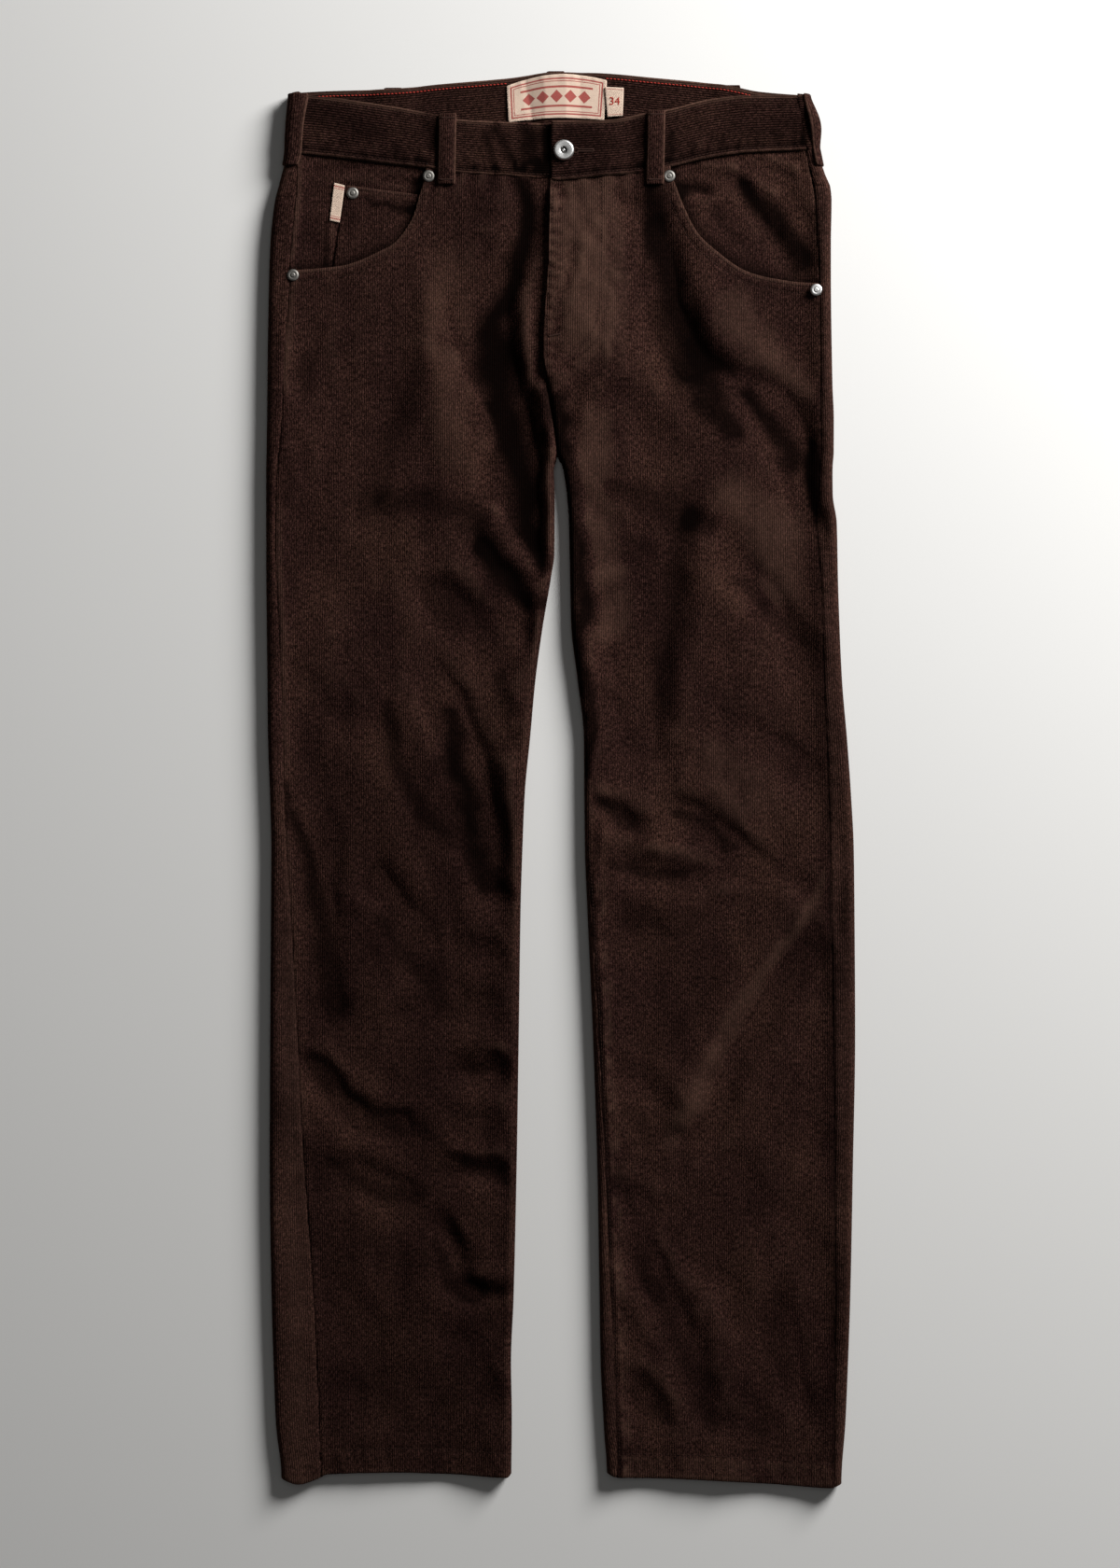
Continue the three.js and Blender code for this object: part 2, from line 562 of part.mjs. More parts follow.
// The side loops follow the waistband's rolled edge.
function sideLoop(side) {
  const leg = legs[side];
  const grid = [];
  const steps = 8;
  for (let j = 0; j <= steps; j++) {
    const y = mix(520, 580, j / steps);
    const outer = at(leg.rows, 'outer', y);
    const seam = at(bandFront[side], 'bottom', outer, 'x');
    const line = [];
    const extra = bandLift * smooth(seam - 9, seam - 1, y);
    const free = 0.3 + 0.5 * Math.sin(Math.PI * clamp((y - seam) / 44));
    for (const d of [1.2, 3, 6, 10.5, 15.5]) {
      const p = (q) => new THREE.Vector3(outer - leg.sign * q, 0, topHeight(side, outer - leg.sign * q, y, extra));
      const n = p(d + 0.4).sub(p(d - 0.4));
      const out = new THREE.Vector3(-n.z, 0, n.x).normalize().multiplyScalar(leg.sign * -1);
      if (out.z < 0) out.negate();
      const at3 = p(d).addScaledVector(out, free + gap + loopWall);
      line.push([at3.x, y, at3.z]);
    }
    grid.push(line);
  }
  return wall(grid, loopWall, leg.sign < 0 ? 1 : -1);
}

function backLoop(loop) {
  const top = at(bandBack, 'top', loop.x, 'x') + 2.4, bottom = at(bandBack, 'bottom', loop.x, 'x') + 0.6;
  const shape = new THREE.BoxGeometry(loopWidth, top - bottom, loopWall);
  shape.translate(loop.x, (top + bottom) / 2, loopWall / 2);
  return shape;
}

function rivet(item) {
  const carried = { panel: 0, seam: 0, coin: -coinPocket.drop }[item.carrier];
  let high = 0;
  for (let i = 0; i < 12; i++) {
    const a = (i / 12) * 2 * Math.PI;
    high = Math.max(high, topHeight(item.leg, item.x + rivetRadius * Math.cos(a), item.y + rivetRadius * Math.sin(a)));
  }
  const base = Math.max(high, topHeight(item.leg, item.x, item.y)) + carried + gap;
  const profile = [[0, 0], [rivetRadius, 0], [rivetRadius, 0.5], [4.2, 1.1], [2.6, rivetHeight - 0.3],
    [0, rivetHeight]];
  const shape = new THREE.LatheGeometry(profile.map(([x, y]) => new THREE.Vector2(x, y)), 12);
  shape.rotateX(Math.PI / 2);
  shape.translate(item.x, item.y, base);
  return shape;
}

function jeansButton() {
  const seat = Math.max(bandHeight('right', button.x - 6, button.y), bandHeight('right', button.x + 6, button.y));
  const foot = bandHeight('left', button.x, button.y) + gap;
  const head = seat + 0.4 - foot;
  const profile = [[0, 0], [button.shank, 0], [button.shank, head], [button.radius - 0.6, head],
    [button.radius, head + 0.7], [button.radius - 0.3, head + 2.3], [button.radius - 1.5, head + button.height],
    [button.radius - 2.7, head + 2.7], [button.radius - 3.4, head + 1.7], [2.6, head + 1.5],
    [1.4, head + 2.1], [0, head + 2.3]];
  const shape = new THREE.LatheGeometry(profile.map(([x, y]) => new THREE.Vector2(x, y)), 24);
  shape.rotateX(Math.PI / 2);
  shape.translate(button.x, button.y, foot);
  return shape;
}

const looks = {
  corduroy: { color: 0x2b1a16, roughness: 0.95, metalness: 0 },
  lining: { color: 0x2f1d18, roughness: 0.95, metalness: 0 },
  label: { color: 0xf3dcc6, roughness: 0.85, metalness: 0 },
  steel: { color: 0xb9b6b0, roughness: 0.35, metalness: 0.95 },
  copper: { color: 0x8d857c, roughness: 0.4, metalness: 0.9 },
};

const trousers = new THREE.Group();
function add(name, body, look) {
  let shape = body;
  if (!body.isBufferGeometry) {
    const data = body.getMesh();
    shape = new THREE.BufferGeometry();
    shape.setAttribute('position', new THREE.BufferAttribute(new Float32Array(data.vertProperties), 3));
    shape.setIndex(new THREE.BufferAttribute(new Uint32Array(data.triVerts), 1));
    shape.computeVertexNormals();
  }
  const mesh = new THREE.Mesh(shape, new THREE.MeshStandardMaterial(looks[look]));
  mesh.name = name;
  trousers.add(mesh);
}

for (const side of ['left', 'right']) {
  const panel = frontPanel(side, 9, 4).subtract(scoopPrism(side, 0));
  add(`front_${side}`, panel, 'corduroy');
  add(`back_${side}`, backPanel(side), 'corduroy');
  add(`yoke_${side}`, yoke(side), 'corduroy');
  add(`pocket_bearer_${side}`, bearer(side), 'corduroy');
  add(`waistband_front_${side}`, frontBand(side), 'corduroy');
  add(`belt_loop_side_${side}`, sideLoop(side), 'corduroy');
}
add('waistband_back', backBand(), 'corduroy');
for (const loop of frontLoops) add(`belt_loop_front_${loop.name}`, frontLoop(loop.name, loop), 'corduroy');
for (const loop of backLoops) add(`belt_loop_back_${loop.name}`, backLoop(loop), 'corduroy');

const onCoin = (x, y) => topHeight('left', x, y) - coinPocket.drop;
add('coin_pocket', patch(coinPocket.corners, onCoin, cloth, 5, 4).intersect(scoopPrism('left', 7)), 'corduroy');
const onBearer = (x, y) => topHeight('left', x, y) - bearerDrop.left + gap + labelWall;
add('side_tab', patch(sideTab, onBearer, labelWall, 2, 3), 'label');
const onBack = (x) => bandWall + riseAt(x) + 0.7 + labelWall;
add('main_label', patch(mainLabel, onBack, labelWall, 14, 3, labelArch), 'label');
add('size_tag', patch(sizeTag, (x) => onBack(x) + labelWall + gap, labelWall, 2, 2), 'label');
add('button', jeansButton(), 'steel');
rivets.forEach((item, i) => add(`rivet_${i + 1}`, rivet(item), i === 4 ? 'steel' : 'copper'));

export default trousers;
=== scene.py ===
import math

import bpy
import numpy as np
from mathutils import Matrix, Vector


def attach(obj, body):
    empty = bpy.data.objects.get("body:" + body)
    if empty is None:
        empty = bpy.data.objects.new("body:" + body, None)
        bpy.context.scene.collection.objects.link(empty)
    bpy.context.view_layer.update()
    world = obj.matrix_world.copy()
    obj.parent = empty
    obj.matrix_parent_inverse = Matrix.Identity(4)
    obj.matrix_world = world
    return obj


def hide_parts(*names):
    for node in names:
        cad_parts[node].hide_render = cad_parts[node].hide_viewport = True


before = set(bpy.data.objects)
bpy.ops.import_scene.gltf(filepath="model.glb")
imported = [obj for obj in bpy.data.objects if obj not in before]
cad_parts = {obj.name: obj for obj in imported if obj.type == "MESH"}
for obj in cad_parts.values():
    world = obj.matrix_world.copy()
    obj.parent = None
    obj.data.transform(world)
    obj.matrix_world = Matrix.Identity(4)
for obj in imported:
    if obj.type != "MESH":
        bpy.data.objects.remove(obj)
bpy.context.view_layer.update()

# Corduroy trousers laid flat, front up. Shapes are worked out in millimetres and stored in metres.
# Left and right are as the picture shows them.

clothSizes = {
    "wall": 1.4, "hemWall": 2.6, "bandWall": 3.0, "bandLift": 0.9,
    "lapPanel": 2.2, "lapBand": 3.4, "lapUnder": 18, "rollReach": 22, "flyRidge": 2.5, "waleWidth": 1.85,
    "waistWaleWidth": 2.0, "gap": 0.15,
}
# The legs part below crotchLow and are one above crotchHigh; bandMiddle is halfway up the waistband.
crotchLow, crotchHigh = 260, 277
bandMiddle = 555


# Rows of numbers as named columns, in order of the first one, which is called "by".
def table(names, rows):
    keys = names.split()
    data = np.array(rows, float)
    data = data[np.argsort(data[:, 0], kind="stable")]
    return {"by": data[:, 0], **{key: data[:, i] for i, key in enumerate(keys)}}


# A column of a table at v, smooth between its rows and never past them.
def at(rows, key, v):
    x, f = rows["by"], rows[key]
    v = np.clip(np.asarray(v, float), x[0], x[-1])
    slope = np.diff(f) / np.maximum(np.diff(x), 1e-9)
    before, after = np.concatenate([[0], slope]), np.concatenate([slope, [0]])
    both = before * after
    tangent = np.where(both > 0, 2 * both / np.where(both > 0, before + after, 1), 0)
    i = np.clip(np.searchsorted(x, v, side="right") - 1, 0, len(x) - 2)
    span = x[i + 1] - x[i]
    t = (v - x[i]) / np.maximum(span, 1e-9)
    t2, t3 = t * t, t * t * t
    return (f[i] * (2 * t3 - 3 * t2 + 1) + f[i + 1] * (3 * t2 - 2 * t3)
            + span * (tangent[i] * (t3 - 2 * t2 + t) + tangent[i + 1] * (t3 - t2)))


# A new object with that mesh, light or camera, in the scene.
def placed(name, data):
    thing = bpy.data.objects.new(name, data)
    bpy.context.collection.objects.link(thing)
    return thing


def stacked(x, y, z):
    return np.stack([x, y, z], -1)


# Millimetres on the cloth as its UV, in metres.
def clothUv(u, v):
    return np.stack([u, v], -1) / 1000


# Angles in even steps up to a quarter turn, from the step called first on.
def quarterTurn(steps, first=0):
    return np.arange(first, steps + 1) / steps * math.pi / 2


def wave(v, length, shift=0):
    return np.sin(v / length * 2 * math.pi + shift)


def mix(a, b, t):
    return a + (b - a) * t


def smooth(a, b, v):
    t = np.clip((np.asarray(v, float) - a) / (b - a), 0, 1)
    return t * t * (3 - 2 * t)


def bell(d, width):
    return np.exp(-(d / width) ** 2)


legs = {
    "left": {
        "sign": -1,
        "rows": table("y outer seam inner inset", [
            [600, -229, -219, -3.2, 0.6], [575, -229.5, -219.5, -3.2, 0.6],
            [530, -232.5, -222.8, -3.2, 0.6], [505, -237.6, -222.2, -3.2, 0.6],
            [482, -242.7, -223.8, -3.2, 0.6], [456, -245.5, -226.3, -3.2, 0.6],
            [430, -246.6, -228.5, -3.2, 0.6], [367, -247.8, -233.1, -3.2, 0.6],
            [304, -248.5, -236.1, -3.2, 0.6], [276, -248.9, -238.4, -3.2, 0.6],
            [271, -249, -239, -3.8, 0.6], [266, -249.1, -239.5, -4.6, 0.6],
            [260, -249.2, -239.9, -5.6, 0.6], [241, -249.2, -240.7, -5, 0.6],
            [193, -249.2, -241.3, -5.1, 0.6], [170, -249.1, -240.3, -8.1, 0.6],
            [130, -248.7, -238.4, -14.9, 0.6], [83, -248.2, -236.3, -21.3, 0.6],
            [35, -247.7, -235, -25.7, 0.6], [-12, -246.1, -233.9, -30.2, 0.6],
            [-59, -244.9, -232, -32.2, 0.6], [-107, -245.2, -228.7, -33.7, 0.6],
            [-217, -245.9, -223, -35.3, 0.6], [-328, -246.3, -217.1, -37.1, 0.6],
            [-439, -244.7, -209.3, -39.7, 0.6], [-494, -243.1, -206.5, -41.9, 0.6],
            [-541, -241.3, -204.6, -41.2, 0.6], [-600, -236.4, -202.6, -41.6, 0.6],
        ]),
        "hem": table("x y", [
            [-240, -591], [-222, -596], [-204, -591], [-199, -588], [-146, -586.4], [-90, -588],
            [-45, -590.3], [-40, -587],
        ]),
    },
    "right": {
        "sign": 1,
        "rows": table("y outer seam inner inset", [
            [600, 207, 198, -2.9, 0.6], [575, 209.7, 200.5, -2.9, 0.6],
            [535, 217, 207.5, -2.9, 0.6], [517, 220.8, 209.7, -2.9, 0.6],
            [505, 223.8, 212.3, -2.9, 0.6], [482, 229.6, 215.7, -2.9, 0.6],
            [456, 229, 217.9, -2.9, 0.6], [430, 229, 219.3, -2.9, 0.6],
            [336, 230.3, 220, -2.9, 0.6], [304, 231.5, 220.4, -2.9, 0.6],
            [276, 231.4, 220.5, -2.9, 0.6], [271, 231, 220.3, -1.2, 0.6],
            [266, 230.6, 220.1, 1.2, 0.6], [260, 230.4, 219.7, 2.6, 0.6],
            [241, 230.6, 218.4, 5.4, 0.6], [217, 234, 217, 7.1, 0.6],
            [170, 235, 220.3, 8.1, 0.6], [130, 236.3, 221.8, 9.1, 0.6],
            [83, 238.5, 223, 14.6, 0.6], [35, 242.6, 225.2, 19.8, 0.6],
            [-12, 246, 227, 20.2, 0.6], [-59, 248.4, 228.4, 20.7, 1.6],
            [-107, 249, 229.1, 22.6, 3], [-217, 249.6, 230.8, 27.5, 4.6],
            [-328, 247.7, 232.3, 31.2, 6.6], [-439, 245.5, 232.6, 33.1, 9.4],
            [-494, 243.6, 232.4, 34, 11.4], [-541, 241.6, 232.2, 36.3, 10.6],
            [-600, 238, 231.9, 39.3, 9],
        ]),
        "hem": table("x y", [
            [38, -587], [48, -590.3], [111, -591.9], [188, -596.6], [228, -599], [240, -596],
        ]),
    },
}
heights = table("y middle edge", [
    [600, 9, 10.5], [560, 9, 10.5], [520, 9, 11.5], [450, 8.8, 13], [300, 7.4, 13],
    [200, 6.6, 13], [0, 6.2, 12.5], [-300, 6.2, 12], [-540, 6.6, 11], [-600, 7, 11],
])
lapUnder = clothSizes["lapUnder"]
frontEnds = table("y left right drop", [
    [260, -5.6, 2.6, 1], [266, -4.6, 1.2, 1], [271, -3.8, -1.2, 1], [276, -3.2, -2.9, 1],
    [290, -4.7, -4.4, 1], [305, -6.8, -6.5, 1], [320, -9.2, -8.9, 0.9], [333, -11.2, -10.9, 0.6],
    [345, -12.2, -11.9, 0], [356, -12.2, -13.8, 0], [375, lapUnder, -13.8, 0],
    [440, lapUnder, -9.9, 0], [503, lapUnder, -8.3, 0], [600, lapUnder, -6.7, 0],
])
bandFront = {
    "left": table("x top bottom", [
        [-236, 578.5, 531], [-215, 577.3, 530], [-158, 570.2, 523.4], [-105, 560.7, 517.5],
        [-89, 557, 514.5], [-45, 554.7, 511.8], [-10, 553.2, 509.4], [40, 553, 509.4],
    ]),
    "right": table("x top bottom", [
        [-10, 555.2, 507.6], [41, 556, 511.7], [73, 562.3, 515.2], [90, 565, 518.8],
        [131, 574.6, 528], [164, 577.3, 532], [205, 577.3, 533.6], [230, 577, 534.2],
    ]),
}
bandBack = table("x top bottom", [
    [-236, 578.5, 530.8], [-222, 580.5, 530.8], [-195, 582, 534.5], [-142, 583.5, 539.5],
    [-105, 587.5, 543.5], [-45, 592.7, 549], [-4, 597.5, 553.5], [22, 597.5, 553.5],
    [84, 592.8, 549], [136, 587.3, 543.5], [164, 582, 537.5], [190, 579.5, 534.4],
    [208, 578.3, 533.6], [230, 577, 533.6],
])
yokeSeam = table("x y", [[-250, 492.5], [-200, 490], [-3, 480], [195, 500], [240, 502]])
scoops = {
    "left": [[-113.9, 530], [-114.2, 511.7], [-118.9, 495.9], [-126, 473.8], [-140.2, 454],
             [-156.8, 444.6], [-172.6, 437.5], [-188.4, 433.5], [-220.8, 430.4], [-250, 429.5]],
    "right": [[94.1, 530], [94.4, 511.7], [98.4, 499.9], [105.5, 481.7], [116.5, 461.2],
              [131.5, 447], [149.7, 433.5], [167.1, 426.4], [190.8, 421.7], [211.3, 419.3],
              [250, 418]],
}
backLoops = {"left": -142, "centre": -4, "right": 145}

# Main folds, close to those of the solids, then the smaller ones.
# Each row: leg, the line's two ends, bow, half width, depth.
mainFolds = [
    ("left", -64, 384, -24, 226, 4, 12, -4.2), ("left", -36, 312, -17, 181, 0, 7, -2.6),
    ("left", -65, 204, -18, 136, 3, 9, -3.2), ("left", -103, 75, -42, -99, 5, 11, -3.6),
    ("left", -146, -80, -112, -158, 0, 10, -2.3), ("left", -209, -248, -135, -296, -11, 10, -2.8),
    ("left", -81, -239, -44, -244, 0, 8, -2.6), ("left", -186, -331, -139, -347, 0, 11, -1.9),
    ("left", -85, -334, -44, -335, 0, 8, -2.4), ("left", -96, -391, -80, -428, 0, 8, -2.2),
    ("left", -81, -428, -46, -429, 0, 8, -2.4), ("left", -214, 375, -214, 345, 0, 10, -1.4),
    ("right", 124, 361, 208, 275, 5, 12, -3.0), ("right", 205, 262, 214, 222, 0, 9, -2.4),
    ("right", 108, 228, 70, 55, -8, 15, -2.6), ("right", 171, 164, 208, 101, 0, 12, -1.9),
    ("right", 36, -21, 60, -32, 0, 8, -2.6), ("right", 102, -24, 158, -61, 0, 10, -2.8),
    ("right", 63, -70, 118, -78, 0, 9, -2.4), ("right", 222, -84, 107, -266, 0, 13, 3.0),
    ("right", 73, -410, 127, -533, 6, 10, -2.6), ("right", 60, -514, 86, -538, 0, 8, -1.8),
    ("right", 184, -454, 205, -521, 0, 12, -1.5),
]
smallFolds = [
    ("left", -14, 492, -52, 392, 0, 13, -3.2), ("left", -112, 158, -30, 128, 6, 12, -2.2),
    ("left", -60, 400, -48, 240, 6, 14, -3.4), ("right", 84, 470, 108, 350, -4, 15, -2.6),
    ("left", -137, 48, -104, -30, 4, 11, -2.0), ("left", -150, 420, -176, 330, 6, 22, -1.2),
    ("left", -92, 470, -120, 380, 8, 18, -1.3), ("right", 62, 486, 84, 400, 6, 15, -1.9),
    ("right", 92, 400, 112, 352, 4, 14, -1.8), ("right", 30, 346, 66, 300, 4, 12, -1.6),
    ("left", -209, -40, -196, -172, 4, 10, -1.6), ("left", -143, 290, -128, 240, 0, 20, -1.0),
    ("left", -30, 300, -60, 262, 0, 6, -1.2), ("left", -24, 250, -58, 236, 0, 6, -1.3),
    ("left", -22, 120, -52, 100, 0, 7, -1.4), ("left", -33, 40, -62, 20, 2, 7, -1.2),
    ("left", -190, 180, -150, 120, 4, 14, -1.0), ("left", -228, 90, -190, 60, 0, 9, -0.9),
    ("left", -120, -200, -70, -190, 3, 9, -1.2), ("left", -70, -462, -78, -474, 0, 7, -1.4),
    ("left", -200, -430, -170, -462, 0, 10, -1.0), ("left", -150, 30, -118, -20, 4, 9, -1.1),
    ("left", -60, -520, -44, -530, 0, 7, -1.0), ("left", -160, -520, -120, -512, 3, 10, -0.9),
    ("left", -70, -150, -40, -158, 0, 7, -1.3), ("left", -186, -110, -160, -150, 3, 9, -1.0),
    ("right", 16, 236, 40, 214, 0, 6, -1.2), ("right", 18, 200, 48, 190, 0, 6, -1.1),
    ("right", 22, 150, 52, 160, 2, 7, -1.0), ("right", 110, 220, 150, 190, 4, 12, -1.0),
    ("right", 20, 330, 8, 290, 0, 7, -1.2), ("right", 36, 66, 70, 30, 4, 9, -1.3),
    ("right", 150, 40, 190, 10, 4, 10, -1.2), ("right", 180, -90, 220, -120, 0, 9, 1.2),
    ("right", 60, -130, 110, -170, 5, 9, -1.4), ("right", 150, -230, 120, -300, 3, 12, -1.2),
    ("right", 50, -250, 92, -290, 4, 9, -1.3), ("right", 160, -330, 200, -390, 4, 12, -1.1),
    ("right", 45, -350, 82, -372, 0, 8, -1.3), ("right", 130, -420, 150, -480, 3, 10, -1.2),
    ("right", 52, -460, 76, -486, 0, 8, -1.2), ("right", 150, -520, 176, -560, 0, 9, -1.0),
]


foldLook = {
    "mainWidth": 1.2, "mainDepth": 1.12, "smallWidth": 1.35, "smallDepth": 0.95, "steepSide": 1.05,
    "softSide": 0.62, "rim": 0.42, "fade": 1.7, "all": 1.25,
}


# The folds' height: each is a trough with a steep side, a soft side and a low rim beyond it.
def foldAt(side, x, y):
    x, y = (x + 8 * valueNoise(x, y, 46, 60, 50) + 3 * valueNoise(x, y, 15, 20, 51),
            y + 9 * valueNoise(x, y, 50, 44, 52) + 3 * valueNoise(x, y, 17, 14, 53))
    total = np.zeros(np.shape(x))
    for number, (leg, x0, y0, x1, y1, bow, width, depth) in enumerate(mainFolds + smallFolds):
        if leg != side:
            continue
        kind = "small" if number >= len(mainFolds) else "main"
        width, depth = width * foldLook[kind + "Width"], depth * foldLook[kind + "Depth"]
        dx, dy = x1 - x0, y1 - y0
        length = math.hypot(dx, dy)
        along = ((x - x0) * dx + (y - y0) * dy) / length
        t = np.clip(along / length, 0, 1)
        across = ((y - y0) * dx - (x - x0) * dy) / length - bow * 4 * t * (1 - t)
        past = np.maximum(0, np.maximum(-along, along - length))
        s = across / width
        s = np.where(s < 0, -s * foldLook["softSide"], s * foldLook["steepSide"])
        shape = np.exp(-s * s) - foldLook["rim"] * np.exp(-(s - 1.8) ** 2)
        total += depth * shape * bell(past, foldLook["fade"] * width)
    return total


# Painted shade where the amount is below 0 and painted highlight where it is above, along lines: leg, amount,
# then x, y and half width along a line.
paintedShadeLines = [
    ("left", -1.0, (-30, 505, 9), (-24, 470, 9), (-32, 445, 9), (-46, 415, 8), (-57, 385, 9), (-54, 350, 14),
     (-46, 310, 16), (-38, 270, 15), (-29, 225, 12), (-17, 180, 6)),
    ("left", -0.62, (-150, 236, 9), (-115, 232, 10), (-80, 222, 11), (-60, 198, 13)),
    ("left", -0.92, (-66, 190, 10), (-50, 168, 14), (-30, 152, 9), (-14, 147, 7)),
    ("left", -0.42, (-122, 345, 10), (-135, 305, 11), (-150, 262, 13), (-164, 236, 9)),
    ("left", -0.4, (-214, 360, 5), (-215, 335, 4)),
    ("left", -0.38, (-105, 165, 12), (-90, 135, 14), (-70, 130, 8)),
    ("left", -0.85, (-95, 55, 7), (-88, 20, 9), (-80, -15, 9), (-72, -50, 9), (-58, -85, 8), (-42, -98, 5)),
    ("left", -0.6, (-148, 60, 5), (-136, 10, 7), (-118, -28, 9), (-96, -45, 9)),
    ("left", -0.75, (-234, -8, 4), (-220, -55, 6), (-209, -100, 7), (-200, -150, 8), (-186, -195, 10)),
    ("left", -0.55, (-156, -120, 4), (-135, -150, 8), (-108, -170, 10), (-98, -190, 6)),
    ("left", -0.65, (-212, -238, 6), (-192, -262, 7), (-165, -285, 6), (-130, -300, 4)),
    ("left", -0.5, (-195, -325, 5), (-160, -345, 7), (-120, -352, 6)),
    ("left", -0.5, (-120, -300, 4), (-80, -322, 7), (-46, -336, 8)),
    ("left", -0.45, (-92, -240, 5), (-46, -246, 6)),
    ("left", -0.6, (-102, -395, 6), (-92, -425, 8), (-48, -430, 7)),
    ("left", -0.55, (-85, -442, 7), (-50, -462, 9)),
    ("left", -0.35, (-165, -500, 12), (-130, -545, 12)),
    ("left", -0.4, (-90, -520, 12), (-50, -520, 10)),
    ("left", -0.5, (-52, 90, 5), (-38, 60, 6)),
    ("left", -0.2, (-140, -60, 80), (-140, -560, 80)),
    ("left", 0.16, (-95, 430, 18), (-95, 330, 18), (-92, 270, 14)),
    ("right", -0.92, (78, 505, 9), (84, 465, 12), (96, 425, 14), (104, 385, 18), (112, 355, 19),
     (122, 325, 15), (135, 303, 10), (150, 290, 5)),
    ("right", -0.6, (118, 362, 9), (142, 345, 6)),
    ("right", -0.85, (158, 330, 5), (172, 310, 8), (186, 290, 9), (202, 268, 8)),
    ("right", -0.9, (216, 285, 5), (217, 250, 6), (218, 225, 5)),
    ("right", -0.5, (45, 243, 5), (70, 238, 9), (100, 232, 12), (125, 215, 8)),
    ("right", -0.52, (108, 225, 9), (106, 190, 10), (98, 150, 14), (92, 110, 13), (90, 70, 11)),
    ("right", -0.35, (50, 210, 5), (80, 195, 8)),
    ("right", -0.35, (150, 165, 5), (205, 115, 6)),
    ("right", -1.0, (0, 325, 5), (6, 270, 8), (12, 220, 9), (15, 160, 9), (18, 100, 7), (25, 50, 5),
     (26, 0, 4)),
    ("left", -1.0, (-10, 335, 5), (-7, 290, 5)), ("right", -0.5, (30, -40, 3), (32, -200, 3), (38, -420, 3)),
    ("left", -0.4, (-192, -575, 7), (-186, -590, 7)), ("left", -0.35, (-112, -570, 9), (-104, -590, 8)),
    ("left", -0.3, (-66, -572, 6), (-60, -590, 6)), ("right", -0.3, (92, -575, 5), (90, -592, 5)),
    ("right", -0.3, (166, -577, 5), (170, -596, 6)), ("right", 0.16, (60, -582, 9), (225, -588, 9)),
    ("left", -0.45, (-240, 470, 5), (-243, 380, 4)), ("left", -0.35, (-236, 330, 5), (-233, 240, 6)),
    ("right", -0.55, (32, -20, 5), (50, -30, 7), (70, -44, 4)),
    ("right", -0.7, (100, -24, 4), (125, -38, 6), (152, -60, 4)),
    ("right", -0.6, (45, -66, 5), (75, -74, 6), (104, -79, 4)), ("left", -0.25, (-60, 560, 4), (-60, 500, 4)),
    ("left", -0.45, (-72, 492, 5), (-64, 478, 6)), ("right", 0.2, (130, 20, 16), (160, -20, 20)),
    ("right", -0.28, (85, -110, 25), (110, -170, 30), (80, -230, 20)),
    ("right", -0.5, (60, -282, 5), (78, -304, 5)),
    ("right", -0.55, (72, -408, 7), (95, -460, 8), (130, -545, 6)),
    ("right", -0.45, (60, -514, 5), (85, -542, 6)),
    ("right", -0.3, (190, -430, 9), (180, -500, 11), (172, -560, 10)),
    ("right", 0.32, (221, -86, 3), (200, -125, 4), (170, -170, 5), (140, -222, 8), (118, -265, 10),
     (95, -300, 8)),
    ("right", -0.25, (215, -140, 8), (180, -200, 9), (150, -260, 10)),
    ("right", 0.3, (30, 300, 10), (32, 250, 12), (35, 200, 10), (45, 130, 12)),
    ("right", 0.3, (150, 240, 18), (180, 210, 20), (190, 160, 14)),
    ("right", 0.42, (20, 500, 24), (20, 440, 25), (22, 380, 22)),
    ("right", 0.25, (150, 400, 14), (180, 360, 16), (205, 330, 10)),
    ("pocketRight", -0.6, (104, 500, 7), (126, 498, 5)),
    ("pocketRight", -0.95, (158, 506, 7), (182, 472, 9), (205, 440, 9)),
    ("pocketRight", -0.35, (130, 480, 4), (150, 455, 5)),
    ("pocketLeft", -0.5, (-120, 505, 6), (-128, 480, 6), (-142, 460, 5)),
    ("band", -0.6, (-64, 548, 4), (-56, 522, 4)), ("band", -0.7, (-52, 552, 5), (-36, 532, 5), (-30, 520, 3)),
    ("band", -0.85, (-26, 550, 6), (-20, 520, 5)), ("band", -0.5, (-108, 560, 6), (-108, 540, 5)),
    ("band", -0.35, (-205, 560, 9), (-150, 548, 9)), ("band", -0.7, (90, 552, 3), (92, 532, 5)),
    ("band", -0.4, (63, 556, 6), (66, 520, 7)), ("band", -0.3, (10, 540, 9), (40, 534, 7)),
    ("band", -0.3, (150, 555, 8), (190, 548, 8)), ("band", -0.5, (203, 570, 4), (206, 540, 4)),
    ("pocketLeft", -0.7, (-196, 470, 2), (-198, 434, 2)), ("coin", -0.8, (-168, 493, 2), (-126, 487, 3.5)),
]


# The painted shade and highlight are at full strength within core half widths of a line, gone at edge; weaker
# below the knees.
paintedShadeLook = {"core": 0.3, "edge": 1.75, "shins": 0.74}


# Painted shade (below 0) and painted highlight (above 0) from the lines above, at each point.
def paintedShadeAt(place, x, y):
    x, y = (x + 5 * valueNoise(x, y, 30, 34, 60) + 3 * valueNoise(x, y, 11, 12, 61),
            y + 7 * valueNoise(x, y, 34, 40, 62) + 3 * valueNoise(x, y, 12, 13, 63))
    total = np.zeros(np.shape(x))
    for leg, amount, *line in paintedShadeLines:
        if leg != place:
            continue
        near = np.full(np.shape(x), 9.0)
        for (ax, ay, aw), (bx, by, bw) in zip(line[:-1], line[1:]):
            dx, dy = bx - ax, by - ay
            t = np.clip(((x - ax) * dx + (y - ay) * dy) / (dx * dx + dy * dy), 0, 1)
            near = np.minimum(near, np.hypot(x - ax - dx * t, y - ay - dy * t) / mix(aw, bw, t))
        total += amount * (1 - smooth(paintedShadeLook["core"], paintedShadeLook["edge"], near))
    return total * mix(paintedShadeLook["shins"], 1, smooth(-200, 40, y))


